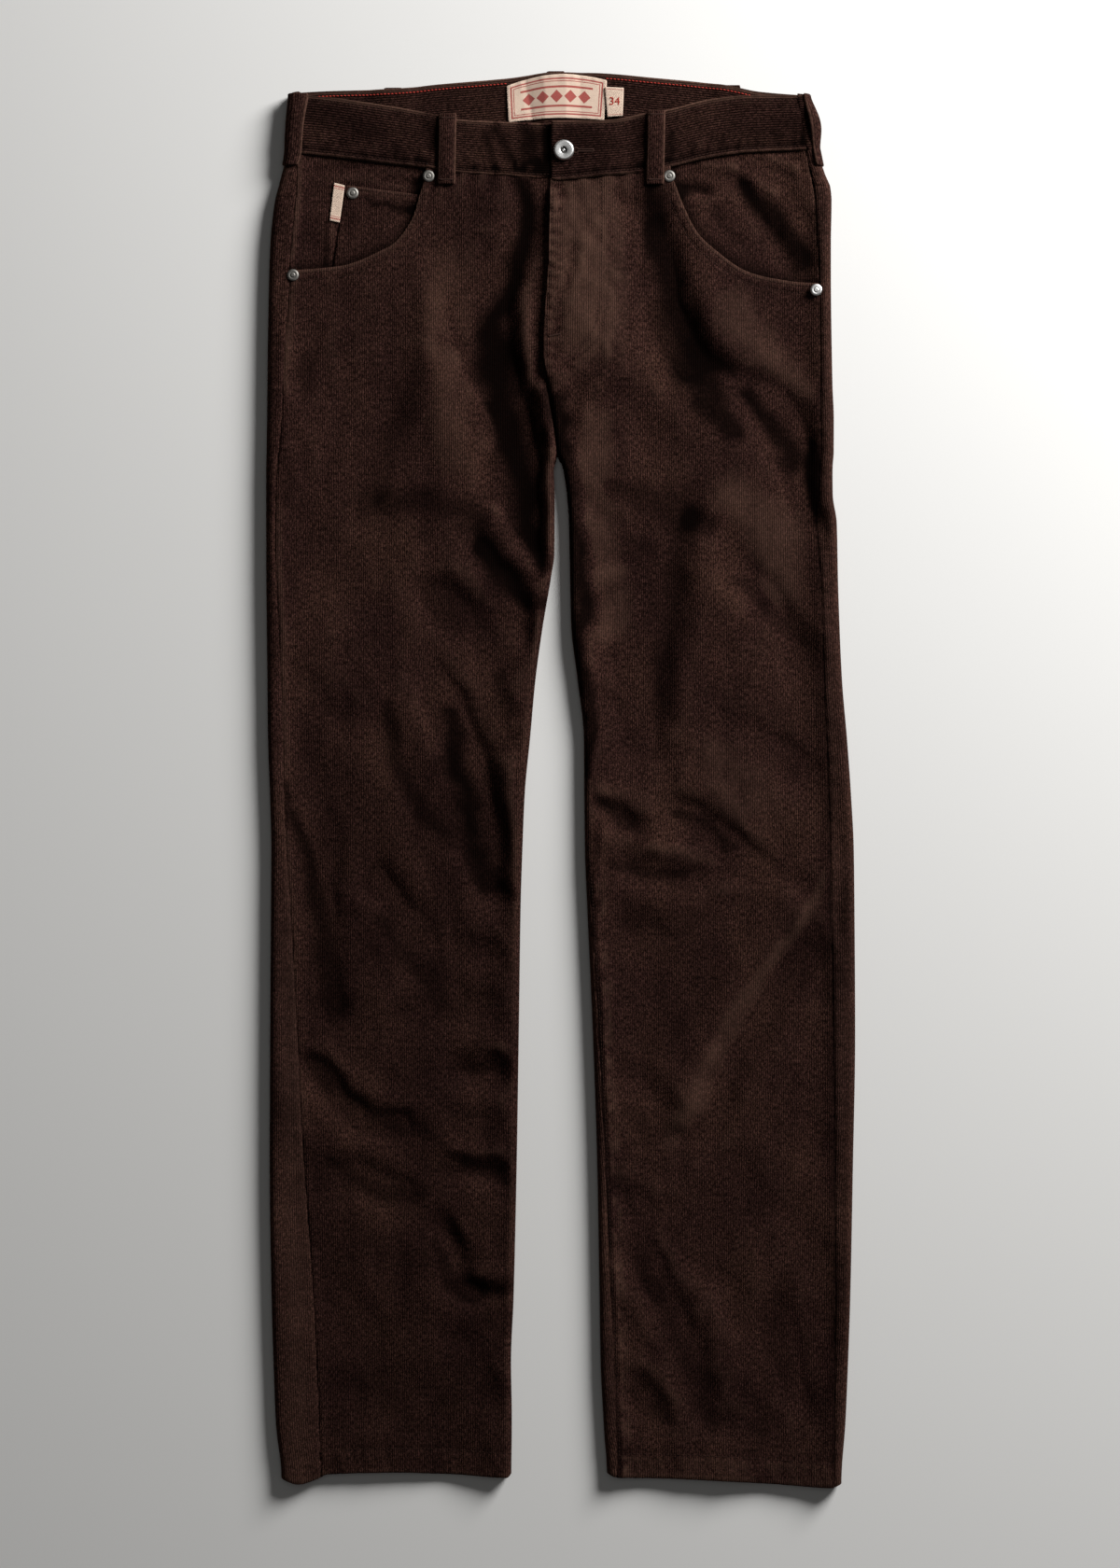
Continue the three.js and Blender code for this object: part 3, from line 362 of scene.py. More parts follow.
# Smooth noise from -1 to 1 on a lattice of random values, cellX by cellY millimetres.
def valueNoise(x, y, cellX, cellY, seed):
    rng = np.random.default_rng(seed)
    grid = rng.uniform(-1, 1, (128, 128))
    u, v = x / cellX + 61.3, y / cellY + 57.7
    i, j = np.floor(u).astype(int), np.floor(v).astype(int)
    a, b = u - i, v - j
    a, b = a * a * (3 - 2 * a), b * b * (3 - 2 * b)
    i, j = i % 127, j % 127
    return mix(mix(grid[i, j], grid[i + 1, j], a), mix(grid[i, j + 1], grid[i + 1, j + 1], a), b)


# A smooth line through the points.
def spline(points, steps=10):
    p = np.array(points, float)
    p = np.vstack([2 * p[0] - p[1], p, 2 * p[-1] - p[-2]])
    out = []
    for i in range(1, len(p) - 2):
        for t in np.linspace(0, 1, steps, endpoint=False):
            a, b, c, d = p[i - 1], p[i], p[i + 1], p[i + 2]
            out.append(0.5 * (2 * b + (c - a) * t + (2 * a - 5 * b + 4 * c - d) * t * t
                              + (3 * b - a - 3 * c + d) * t ** 3))
    out.append(p[-2])
    return np.array(out)


# How far each point is from a line, and how far along the line its nearest place is.
def nearLine(x, y, line):
    shape = np.shape(x)
    px, py = np.ravel(x), np.ravel(y)
    best, where = np.full(px.shape, 1e9), np.zeros(px.shape)
    gone = 0.0
    for (ax, ay), (bx, by) in zip(line[:-1], line[1:]):
        dx, dy = bx - ax, by - ay
        length = math.hypot(dx, dy)
        if length < 1e-9:
            continue
        t = np.clip(((px - ax) * dx + (py - ay) * dy) / length ** 2, 0, 1)
        d = np.hypot(px - ax - dx * t, py - ay - dy * t)
        closer = d < best
        best[closer] = d[closer]
        where[closer] = gone + t[closer] * length
        gone += length
    return best.reshape(shape), where.reshape(shape)


# The line moved sideways, to its left where distance is above 0.
def movedLine(line, distance):
    line = np.array(line, float)
    step = np.gradient(line, axis=0)
    step /= np.linalg.norm(step, axis=1)[:, None]
    return line + np.stack([-step[:, 1], step[:, 0]], 1) * distance


# Uneven swells of the cloth: height, length across, length along, seed.
swells = [(2.6, 70, 100, 3), (1.1, 30, 48, 4), (0.4, 12, 20, 54), (0.13, 5, 8, 55)]

# How high the puckers stand at each seam, in millimetres.
puckers = {
    "scoop": 0.35, "hem": 0.75, "side": 0.3, "inseam": 0.4, "fly": 1.15, "flyEdge": 0.55, "waist": 0.45,
    "bandLow": 0.95, "bandTop": 0.6, "band": 0.6,
}


# Height of the upper face without seams: middle, rolled edges, folds and the fly's lap.
def openHeight(side, x, y):
    leg = legs[side]
    sign, rows = leg["sign"], leg["rows"]
    middle, edge = at(heights, "middle", y), at(heights, "edge", y)
    outside = np.maximum(0, sign * (at(rows, "outer", y) - x))
    inside = np.hypot(np.maximum(0, sign * (x - at(rows, "inner", np.minimum(y, crotchLow)))),
                      np.maximum(0, y - crotchLow))
    near = np.minimum(outside, inside)
    z = middle + (edge - middle) * bell(near, clothSizes["rollReach"])
    z = z + clothSizes["flyRidge"] * bell(x + 2, 28) * smooth(300, 360, y) * (1 - smooth(450, 495, y))
    fly = smooth(-34, -18, x) * smooth(322, 345, y) if side == "left" else 0
    fold = foldLook["all"] * foldAt(side, x, y) * (1 - smooth(484, 506, y))
    fold = np.where(fold > 0, fold * (1 - fly), fold * (1 - 0.6 * fly))
    soft = sum(high * valueNoise(x, y, across, along, seed) for high, across, along, seed in swells)
    z = z + (fold + soft * (1 - smooth(470, 500, y)) * (1 - 0.7 * fly)) * smooth(2, 16, near)
    if side == "right":
        z = z + clothSizes["lapPanel"] * (1 - smooth(34, 64, x)) * smooth(322, 345, y)
    return np.maximum(z, 4.4)


# The same, rolled down at both edges of the leg.
def topHeight(side, x, y, extra=0):
    x, y = np.asarray(x, float), np.asarray(y, float)
    leg = legs[side]
    sign, rows = leg["sign"], leg["rows"]
    radius = at(heights, "edge", y) / 2
    z = openHeight(side, x, y) + extra
    outside = np.clip(sign * (at(rows, "outer", y) - x) / radius, 0, 1)
    z = radius + (z - radius) * np.sqrt(1 - (1 - outside) ** 2)
    end = np.where(y < crotchLow, at(rows, "inner", y), at(frontEnds, side, y))
    drop = np.where(y < crotchLow, 1, at(frontEnds, "drop", y))
    inside = np.clip(sign * (x - end) / radius, 0, 1)
    low = mix(z, mix(radius, 5, smooth(crotchLow, crotchHigh, y)), drop)
    return np.where(drop > 0, low + (z - low) * np.sqrt(1 - (1 - inside) ** 2), z)


scoopLines = {side: spline(points, 8) for side, points in scoops.items()}
flyStitch = spline([[41.5, 520], [41.5, 470], [41, 425], [39, 398], [33, 376], [22, 362], [9, 355]], 8)
flyStitchInner = movedLine(flyStitch, -6.5)
seamStitch = {
    "hem": 20, "scoop": (2.2, 8.6), "inseam": (2.0, 9.0), "flyEdge": 2.0,
}


# The scoop's edge and the top of a front panel as a height for each x.
def overX(line, x, beyond):
    line = np.array(line)
    order = np.argsort(line[:, 0])
    return np.interp(x, line[order, 0], line[order, 1], left=beyond[0], right=beyond[1])


def scoopY(side, x, reach=0):
    sign = legs[side]["sign"]
    line = movedLine(scoopLines[side], -sign * reach) if reach else scoopLines[side]
    beyond = (line[-1][1], 999) if side == "left" else (999, line[-1][1])
    return overX(line, x, beyond)


def frontTop(side, x):
    return np.minimum(scoopY(side, x), at(bandFront[side], "bottom", x) - 0.2)


# The finished face of a front panel: seams draw the cloth in and pucker it.
def frontFace(side, x, y, extra=0):
    z = topHeight(side, x, y, extra)
    leg = legs[side]
    sign, rows = leg["sign"], leg["rows"]
    d, s = nearLine(x, y, scoopLines[side])
    onScoop = bell(np.maximum(0, d - 60), 20)
    z = z + 0.5 * bell(d, 9) * smooth(0.2, 1.6, d)
    for row in seamStitch["scoop"]:
        z = z - 0.32 * bell(d - row, 1.3)
    z = z + (0.14 * wave(s, 9.5, 4 * valueNoise(s, d, 20, 9, 5))
             + puckers["scoop"] * valueNoise(s, d, 7, 9, 64)) * bell(d - 6, 6) * onScoop
    hem = at(leg["hem"], "y", x)
    up = y - hem
    z = z + 0.5 * smooth(25, 19, up) - 0.4 * bell(up - seamStitch["hem"], 1.3)
    z = z + (0.16 * wave(x, 11, up / 6 + 5 * valueNoise(x, up, 26, 30, 7))
             + puckers["hem"] * valueNoise(x, up, 13, 26, 65)) * bell(up - 14, 13)
    seam = sign * (at(rows, "seam", y) - x)
    z = z - 0.45 * bell(seam, 1.2) + 0.35 * bell(seam - 4, 3)
    z = z + (0.08 * wave(y, 14, 3 * valueNoise(y, seam, 33, 30, 8))
             + puckers["side"] * valueNoise(seam, y, 12, 16, 67)) * bell(seam - 3, 6)
    if side == "right":
        inseam = x - at(rows, "inner", y) - at(rows, "inset", y)
        shown = 1 - smooth(-90, -40, y)
        for row in seamStitch["inseam"]:
            z = z - 0.35 * bell(inseam - row, 1.3) * shown
        z = z + shown * (0.5 * bell(inseam - 5.5, 3) + (
            0.14 * wave(y, 15, 4 * valueNoise(y, y, 40, 40, 9))
            + puckers["inseam"] * valueNoise(inseam, y, 12, 13, 66)) * bell(inseam - 7, 8))
        z = z + shown * 0.3 * valueNoise(inseam, y, 5, 2.6, 71) * bell(inseam - 5.5, 5)
        fly, _ = nearLine(x, y, flyStitch)
        inner, _ = nearLine(x, y, flyStitchInner)
        z = z - 0.35 * bell(fly, 1.4) - 0.35 * bell(inner, 1.4)
        zone = smooth(-16, -8, x) * (1 - smooth(44, 58, x)) * smooth(335, 360, y)
        wx, wy = x + 7 * valueNoise(x, y, 17, 24, 73), y + 9 * valueNoise(x, y, 26, 19, 74)
        broad = puckers["fly"] * valueNoise(wx, wy, 11, 34, 10)
        z = z + zone * (broad + 0.5 * valueNoise(wx + 0.5 * wy, wy, 9, 12, 11)
                        + 0.3 * valueNoise(wx, wy + 0.4 * wx, 5, 4, 68) * (1 - smooth(0, 30, x)))
        edge = x - at(frontEnds, "right", y)
        ripple = wave(y, 9.5, 3 * valueNoise(y, edge, 18, 9, 22))
        z = z + puckers["flyEdge"] * ripple * bell(edge - 2, 8) * zone
        rolled = 0.5 * bell(edge - 4, 4) - 0.3 * bell(edge - seamStitch["flyEdge"], 1.1)
        z = z + rolled * smooth(340, 352, y)
    else:
        zone = smooth(-60, -20, x) * smooth(335, 380, y)
        z = z + zone * 0.3 * valueNoise(x, y, 16, 22, 12)
    under = at(bandFront[side], "bottom", x) - y
    z = z + puckers["waist"] * wave(x, 17, 3 * valueNoise(x, y, 30, 40, 13)) * bell(under, 22)
    return z


# Millimetre points as an object in metres, with the cloth's UV and an attribute of wear and painted shade and
# highlight.
def toMesh(name, points, faces, uv=None, wearAndPaintedLight=None):
    mesh = bpy.data.meshes.new(name)
    mesh.from_pydata(np.round(np.asarray(points) / 1000, 7).tolist(), [], faces)
    corners = np.empty(len(mesh.loops), int)
    mesh.loops.foreach_get("vertex_index", corners)
    if uv is not None:
        layer = mesh.uv_layers.new(name="cloth")
        layer.data.foreach_set("uv", np.asarray(uv, np.float32)[corners].ravel())
    if wearAndPaintedLight is not None:
        layer = mesh.attributes.new("wearAndPaintedLight", "FLOAT", "POINT")
        layer.data.foreach_set("value", np.asarray(wearAndPaintedLight, np.float32).ravel())
    mesh.shade_smooth()
    return placed(name, mesh)


# A closed wall on a grid of outer points (rows, columns, 3) with a rounded rim. Under: most of it faces down.
def clothWall(name, grid, thickness, uv, wearAndPaintedLight, bulge=0.4, rubAndHighlight=0.2, under=False):
    rows, columns = grid.shape[:2]
    across, along = np.gradient(grid, axis=1), np.gradient(grid, axis=0)
    normal = np.cross(across, along)
    normal /= np.maximum(np.linalg.norm(normal, axis=2, keepdims=True), 1e-9)
    size = rows * columns
    index = np.arange(size).reshape(rows, columns)
    quads = np.stack([index[:-1, :-1], index[:-1, 1:], index[1:, 1:], index[1:, :-1]], -1).reshape(-1, 4)
    flip = (normal[..., 2].sum() < 0) != under
    if flip:
        normal, quads = -normal, quads[:, ::-1]
    thick = np.broadcast_to(np.asarray(thickness, float), (rows, columns))[..., None]
    inner = grid - normal * thick
    rim = np.concatenate([index[0, :-1], index[:-1, -1], index[-1, :0:-1], index[:0:-1, 0]])
    inward = np.concatenate([index[1, :-1], index[:-1, -2], index[-2, :0:-1], index[:0:-1, 1]])
    flatGrid, flatInner = grid.reshape(-1, 3), inner.reshape(-1, 3)
    out = flatGrid[rim] - flatGrid[inward]
    face = normal.reshape(-1, 3)[rim]
    out -= face * np.einsum("ij,ij->i", out, face)[:, None]
    out /= np.maximum(np.linalg.norm(out, axis=1, keepdims=True), 1e-9)
    wide = thick.reshape(-1, 1)[rim]
    upper = mix(flatGrid[rim], flatInner[rim], 0.22) + out * wide * bulge * 0.75
    lower = mix(flatGrid[rim], flatInner[rim], 0.7) + out * wide * bulge
    points = np.vstack([flatGrid, flatInner, upper, lower])
    n = len(rim)
    nxt = np.roll(np.arange(n), -1)
    a, b = rim, rim[nxt]
    ua, ub = 2 * size + np.arange(n), 2 * size + nxt
    la, lb = 2 * size + n + np.arange(n), 2 * size + n + nxt
    strips = [np.stack([b, a, ua, ub], 1), np.stack([ub, ua, la, lb], 1),
              np.stack([lb, la, a + size, b + size], 1)]
    strips = np.vstack(strips)
    if flip:
        strips = strips[:, ::-1]
    faces = np.vstack([quads, quads[:, ::-1] + size, strips]).tolist()
    uvFlat = uv.reshape(-1, 2)
    wearAndPaintedLightFlat = np.asarray(wearAndPaintedLight, float).ravel()
    # The rim is lighter by rub: wear and painted highlight on the rolled edge, over the wear and painted
    # shade of the face.
    rimWearAndPaintedLight = np.clip(wearAndPaintedLightFlat[rim] + rubAndHighlight, 0, 1)
    return toMesh(name, points, faces, np.vstack([uvFlat, uvFlat, uvFlat[rim], uvFlat[rim]]),
                  np.concatenate([wearAndPaintedLightFlat, wearAndPaintedLightFlat, rimWearAndPaintedLight, rimWearAndPaintedLight]))


# Light wear on raised places and painted shade in hollows: the surface against a smoothed copy of itself.
def raisedWearHollowShade(z, reach=6, gain=0.5):
    soft = z.copy()
    for _ in range(reach):
        pad = np.pad(soft, 1, mode="edge")
        soft = (pad[:-2, 1:-1] + pad[2:, 1:-1] + pad[1:-1, :-2] + pad[1:-1, 2:] + 2 * pad[1:-1, 1:-1]) / 6
    return np.clip((z - soft) * gain, -0.5, 0.3)


panelMesh = {
    "columns": 92, "roundColumns": 10, "rowStep": 2.75, "hemRows": 14, "topRows": 46, "turnIn": 15,
    "fine": 1600, "topFrom": 395,
}
hemRowsFrom, hemRowsTo = -600, -560


# How far up the band of rows over the hem a row lies, from 0 to 1.
def hemShare(y):
    return ((y - hemRowsFrom) / (hemRowsTo - hemRowsFrom))[:, None]


# A front panel from hem to waistband, curved in at its inner edge.
def frontPanel(side):
    leg = legs[side]
    sign, rows = leg["sign"], leg["rows"]
    main, turned = panelMesh["columns"], panelMesh["roundColumns"]
    turnIn = sign * panelMesh["turnIn"]
    even = np.arange(main + 1) / main
    x = np.linspace(at(rows, "seam", 470), at(frontEnds, side, 470) + turnIn, panelMesh["fine"])
    run = np.concatenate([[0], np.cumsum(np.hypot(np.diff(x), np.diff(frontTop(side, x))))])
    crowded = np.interp(even, run / run[-1], np.linspace(0, 1, panelMesh["fine"]))
    split = panelMesh["topFrom"]
    hemY = np.linspace(hemRowsFrom, hemRowsTo, panelMesh["hemRows"])
    legY = np.arange(hemRowsTo + panelMesh["rowStep"], split, panelMesh["rowStep"])
    lower = np.concatenate([hemY, legY, [split]])
    part = np.linspace(0, 1, panelMesh["topRows"])[1:]
    base = np.concatenate([lower, mix(split, 500, part)])

    def place(y):
        y = y[:, None] if y.ndim == 1 else y
        reach = mix(at(rows, "inset", y) + clothSizes["gap"] / 2, 0.01, smooth(crotchLow, crotchHigh, y))
        end = np.where(y < crotchLow, at(rows, "inner", y), at(frontEnds, side, y)) + sign * reach
        start = at(rows, "seam", y) - sign * clothSizes["gap"] / 2
        share = mix(even[None, :], crowded[None, :], smooth(300, 400, y[:, :1]))
        flat = mix(start[:, :main + 1], end[:, :main + 1] + turnIn, share)
        curl = 1 - np.sin(quarterTurn(turned, 1))
        return np.hstack([flat, end[:, -turned:] + turnIn * curl[None, :]])

    gx = place(base)
    hem = at(leg["hem"], "y", gx)
    gy = np.repeat(base[:, None], gx.shape[1], 1)
    low = base < hemRowsTo + 1
    gy[low] = mix(hem[low], hemRowsTo, hemShare(base[low]))
    top = np.arange(len(base)) >= len(lower)
    gy[top] = mix(split, frontTop(side, gx[top]), part[:, None])
    gx = place(gy)
    gy[top] = mix(split, frontTop(side, gx[top]), part[:, None])
    gz = frontFace(side, gx, gy)
    up = gy - at(leg["hem"], "y", gx)
    wall = mix(clothSizes["hemWall"], clothSizes["wall"], smooth(18, 21, up))
    edge, _ = nearLine(gx, gy, scoopLines[side])
    wall = wall + 0.35 * smooth(11, 9, edge)
    if side == "right":
        wall = wall + 0.5 * smooth(6, 4, gx - at(frontEnds, side, gy)) * smooth(345, 360, gy)
    seam = sign * (at(rows, "seam", gy) - gx)
    # Colour marks: painted shade in fold hollows and along the listed lines, painted highlight on lines above
    # 0, a lighter hem edge from wear, a lighter scoop edge from wear and painted highlight, and a darker line
    # just above the hem.
    wearAndPaintedLight = raisedWearHollowShade(gz) + paintedShadeAt(side, gx, gy)
    wearAndPaintedLight = wearAndPaintedLight + 0.35 * bell(up, 3) + 0.4 * bell(edge, 2.5) - 0.25 * bell(up - 22, 3)
    if side == "right":
        # Along the right inseam: random crinkles, a lighter line and painted shade at the leg's inner edge;
        # then painted shade down the side seam and a lighter fly edge.
        inseam = gx - at(rows, "inner", gy) - at(rows, "inset", gy)
        crinkleAndShade = 0.35 * valueNoise(inseam, gy, 4, 5, 72) * bell(inseam - 6, 6)
        crinkleAndShade = crinkleAndShade + 0.2 * bell(inseam - 10, 2.5) - 0.6 * bell(inseam - 1, 2.5)
        wearAndPaintedLight = wearAndPaintedLight + crinkleAndShade * (1 - smooth(-120, -60, gy))
        wearAndPaintedLight = wearAndPaintedLight - 0.8 * bell(seam, 4) * smooth(-640, 160, 300 - gy)
        wearAndPaintedLight = wearAndPaintedLight + 0.3 * bell(gx - at(frontEnds, side, gy), 2.5) * smooth(345, 355, gy)
    else:
        wearAndPaintedLight = wearAndPaintedLight + 0.12 * bell(seam, 2)
    uv = clothUv(gx + 0.5 * valueNoise(gx, gy, 90, 160, 21), gy)
    return clothWall("front" + side.capitalize(), stacked(gx, gy, gz), wall, uv, np.clip(wearAndPaintedLight, -1, 1),
                     rubAndHighlight=0.05 if side == "left" else 0)


# The way round a leg's back at y: seam, outer edge, bottom, inner edge.
backMesh = {"strip": 16, "turn": 8, "flat": 26, "inner": 8, "inset": 6, "rowStep": 3.4}


def backSection(side, y, start, flats, withInner=True, extra=0):
    leg = legs[side]
    sign, rows = leg["sign"], leg["rows"]
    y = y[:, None] if y.ndim == 1 else y
    outer, inner = at(rows, "outer", y), at(rows, "inner", y)
    radius = at(heights, "edge", y) / 2
    n, m = backMesh["strip"], backMesh["turn"]
    d = start * (1 - np.sin(quarterTurn(n)))[None, :]
    xs = [outer - sign * d]
    zs = [backFace(side, xs[0], np.broadcast_to(y, xs[0].shape), extra)]
    a = quarterTurn(m, 1)[None, :]
    xs.append(outer - sign * radius * (1 - np.cos(a)))
    zs.append(radius * (1 - np.sin(a)))
    begin, stop = outer - sign * radius, inner + sign * radius
    t = (np.arange(1, flats) / flats)[None, :]
    xs.append(mix(begin, stop, t))
    zs.append(np.zeros(xs[-1].shape))
    if withInner:
        k, j = backMesh["inner"], backMesh["inset"]
        inset = at(rows, "inset", y) - clothSizes["gap"] / 2
        a = quarterTurn(k)[None, :]
        x1 = inner + sign * radius * (1 - np.sin(a))
        z1 = radius * (1 - np.cos(a))
        x2 = inner + sign * inset * ((np.arange(1, j + 1) / j) ** 2)[None, :]
        z2 = backFace(side, x2, np.broadcast_to(y, x2.shape), 0)
        rolled = 1 - smooth(crotchLow, crotchHigh - 6, y)
        t = (np.arange(0, k + j + 1) / (k + j))[None, :]
        xs.append(mix(mix(stop, inner, t), np.hstack([x1, x2]), rolled))
        zs.append(np.hstack([z1, z2]) * rolled)
    return np.hstack(xs), np.hstack(zs)


# The strip of a back panel that shows outside the side seam.
def backFace(side, x, y, extra=0):
    leg = legs[side]
    sign, rows = leg["sign"], leg["rows"]
    z = topHeight(side, x, y, extra)
    seam = sign * (x - at(rows, "seam", y))
    outside = sign * (at(rows, "outer", y) - x)
    fade = smooth(1, 6, outside)
    z = z + fade * (0.3 * bell(seam - 3, 2.5) - 0.35 * bell(seam, 1.1))
    z = z + fade * 0.3 * wave(y, 16, 3 * valueNoise(y, seam, 35, 30, 14)) * bell(seam - 4, 7)
    up = y - at(leg["hem"], "y", x)
    z = z - fade * 0.35 * bell(up - seamStitch["hem"], 1.3)
    return z


def backStart(side):
    sign, rows = legs[side]["sign"], legs[side]["rows"]
    return lambda y: sign * (at(rows, "outer", y) - at(rows, "seam", y)) - clothSizes["gap"] / 2


# UV for a piece that goes round the leg: the length of its section across, y along.
def ringUv(gx, gy, gz):
    step = np.hypot(np.diff(gx, axis=1), np.diff(gz, axis=1))
    run = np.hstack([np.zeros((len(gx), 1)), np.cumsum(step, axis=1)])
    run -= run[:, [backMesh["strip"]]]
    return clothUv(run, gy)


# A back panel: a strip in front, round the edge, flat below, and up to the inseam.
def backPanel(side):
    leg = legs[side]
    last = 465
    hemY = np.linspace(hemRowsFrom, hemRowsTo, 12)
    base = np.concatenate([hemY, np.arange(-556.5, last, backMesh["rowStep"]), np.linspace(last, 490, 8)])
    start = backStart(side)

    def section(y):
        return backSection(side, y, start(y[:, None] if y.ndim == 1 else y), backMesh["flat"])

    gx, gz = section(base)
    gy = np.repeat(base[:, None], gx.shape[1], 1)
    low = base < hemRowsTo + 1
    gy[low] = mix(at(leg["hem"], "y", gx[low]), hemRowsTo, hemShare(base[low]))
    top = base > last
    gy[top] = mix(last, at(yokeSeam, "y", gx[top]), ((base[top] - last) / 25)[:, None])
    up = gy - at(leg["hem"], "y", gx)
    wall = mix(clothSizes["hemWall"], clothSizes["wall"], smooth(18, 21, up))
    wearAndPaintedLight = 0.3 * bell(up, 3) + (0.16 * smooth(40, -40, gy) * bell(gx + 223, 16) if side == "left" else 0.1)
    uv = ringUv(gx, gy, gz)
    return clothWall("back" + side.capitalize(), stacked(gx, gy, gz), wall, uv, wearAndPaintedLight, under=True)


def yoke(side):
    base = np.linspace(490, 532, 16)
    start = backStart(side)
    gx, gz = backSection(side, base, start(base[:, None]), backMesh["flat"])
    part = ((base - 490) / 42)[:, None]
    gy = mix(at(yokeSeam, "y", gx) + 0.2, at(bandBack, "bottom", gx) - 0.4, part)
    wearAndPaintedLight = 0.15 * bell(gx - at(legs[side]["rows"], "outer", gy), 6)
    grid, uv = stacked(gx, gy, gz), ringUv(gx, gy, gz)
    return clothWall("yoke" + side.capitalize(), grid, clothSizes["wall"], uv, wearAndPaintedLight, under=True)


coinPocket = {"corners": [[-181.6, 502.4], [-106, 492.4], [-122, 420], [-192.5, 429]], "drop": 1.8,
              "stitch": (1.6, 8.0)}
pocketPieces = {"dropLeft": 3.5, "dropRight": 2.2, "reach": 9}


bearerFolds = [
    ("right", 106, 501, 122, 497, 5, -2.0), ("right", 154, 501, 181, 458, 8, -1.6),
    ("right", 181, 458, 196, 430, 8, -1.5), ("right", 122, 520, 146, 518, 5, 1.4),
    ("right", 146, 518, 181, 496, 5, 1.4), ("right", 178, 527, 199, 517, 5, 1.3),
    ("right", 199, 517, 209, 486, 5, 1.2), ("left", -150, 508, -125, 505, 5, -1.4),
    ("left", -205, 516, -178, 518, 5, -1.1), ("left", -212, 470, -206, 440, 8, -0.9),
]


# The hip piece that shows in a scoop pocket.
def bearer(side):
    leg = legs[side]
    sign, rows = leg["sign"], leg["rows"]
    drop = pocketPieces["dropLeft"] if side == "left" else pocketPieces["dropRight"]
    reach = -104.5 if side == "left" else 84.5
    part = np.linspace(0, 1, 44)[:, None]
    gx = mix(at(rows, "seam", 470) - sign * 0.1, reach, np.linspace(0, 1, 50))[None, :] + 0 * part
    inward = scoopY(side, gx, pocketPieces["reach"])
    gy = mix(np.minimum(inward, 520), at(bandFront[side], "bottom", gx) - 0.3, part)
    shift = (at(rows, "seam", gy) - at(rows, "seam", 470)) * smooth(60, 0, np.abs(gx - at(rows, "seam", 470)))
    gx = gx + shift
    low = drop - 2.0 if side == "right" else (drop - 2.0) * underCoin(gx, gy)
    gz = topHeight(side, gx, gy) - 2.0 - low + 0.3 * valueNoise(gx, gy, 24, 30, 15)
    inside = smooth(1, 9, gy - scoopY(side, gx)) * smooth(0, 6, at(bandFront[side], "bottom", gx) - gy)
    for owner, x0, y0, x1, y1, width, depth in bearerFolds:
        if owner == side:
            d, _ = nearLine(gx, gy, [(x0, y0), (x1, y1)])
            gz = gz + depth * bell(d, width) * inside
    seam = sign * (at(rows, "seam", gy) - gx)
    gz = gz + (drop - 1.0) * bell(seam, 5)
    uv = clothUv(gx, gy)
    edge, _ = nearLine(gx, gy, scoopLines[side])
    # Painted shade in hollows, along the listed lines and beside the scoop edge, where the front panel stands
    # over the bearer.
    wearAndPaintedLight = raisedWearHollowShade(gz) + paintedShadeAt("pocket" + side.capitalize(), gx, gy) - 0.75 * bell(edge - 1, 6)
    return clothWall("pocketBearer" + side.capitalize(), stacked(gx, gy, gz), clothSizes["wall"], uv,
                     np.clip(wearAndPaintedLight, -1, 1))


# 1 where the coin pocket lies on the bearer, fading to 0 round it.
def underCoin(x, y):
    (ax, ay), (bx, by), _, (dx, dy) = coinPocket["corners"]
    below = (ay + (x - ax) * (by - ay) / (bx - ax)) - y
    right = x - (dx + (y - dy) * (ax - dx) / (ay - dy))
    return smooth(-7, 0, below) * smooth(-7, 0, right)


# A grid between four corners, its top and bottom arched.
def cornerPatch(corners, across, down, arch=0):
    topLeft, topRight, lowRight, lowLeft = [np.array(c, float) for c in corners]
    u = np.linspace(0, 1, across + 1)[None, :, None]
    v = np.linspace(0, 1, down + 1)[:, None, None]
    p = mix(mix(lowLeft, lowRight, u), mix(topLeft, topRight, u), v)
    p = p + np.concatenate([0 * u * v, arch * 4 * u * (1 - u) * mix(0.35, 1, v)], -1)
    uv = np.concatenate([u + 0 * v, v + 0 * u], -1)
    return p[..., 0], p[..., 1], uv


def coinFace(x, y):
    (ax, ay), (bx, by) = coinPocket["corners"][:2]
    down = ((bx - ax) * (ay - y) + (by - ay) * (x - ax)) / math.hypot(bx - ax, by - ay)
    z = topHeight("left", x, y) - coinPocket["drop"] + 0.25 * valueNoise(x, y, 18, 26, 16)
    for row in coinPocket["stitch"]:
        z = z - 0.3 * bell(down - row, 1.2)
    return z + 0.35 * bell(down - 4.5, 3)


def makeCoinPocket():
    gx, gy, _ = cornerPatch(coinPocket["corners"], 40, 38)
    inward = scoopY("left", gx, 7)
    gy = np.maximum(gy, np.minimum(inward, 499))
    gz = coinFace(gx, gy)
    edge, _ = nearLine(gx, gy, scoopLines["left"])
    # Painted shade in hollows, along the listed line and next to the scoop edge; the top edge lighter.
    wearAndPaintedLight = raisedWearHollowShade(gz) + paintedShadeAt("coin", gx, gy)
    wearAndPaintedLight = wearAndPaintedLight + 0.3 * bell(gy - gy[-1][None, :], 2) - 0.75 * bell(edge - 1, 5)
    return clothWall("coinPocket", stacked(gx, gy, gz), clothSizes["wall"], clothUv(gx, gy), wearAndPaintedLight)


waist = {"stitchIn": 2.2, "splitAt": 9, "rise": 2.7}


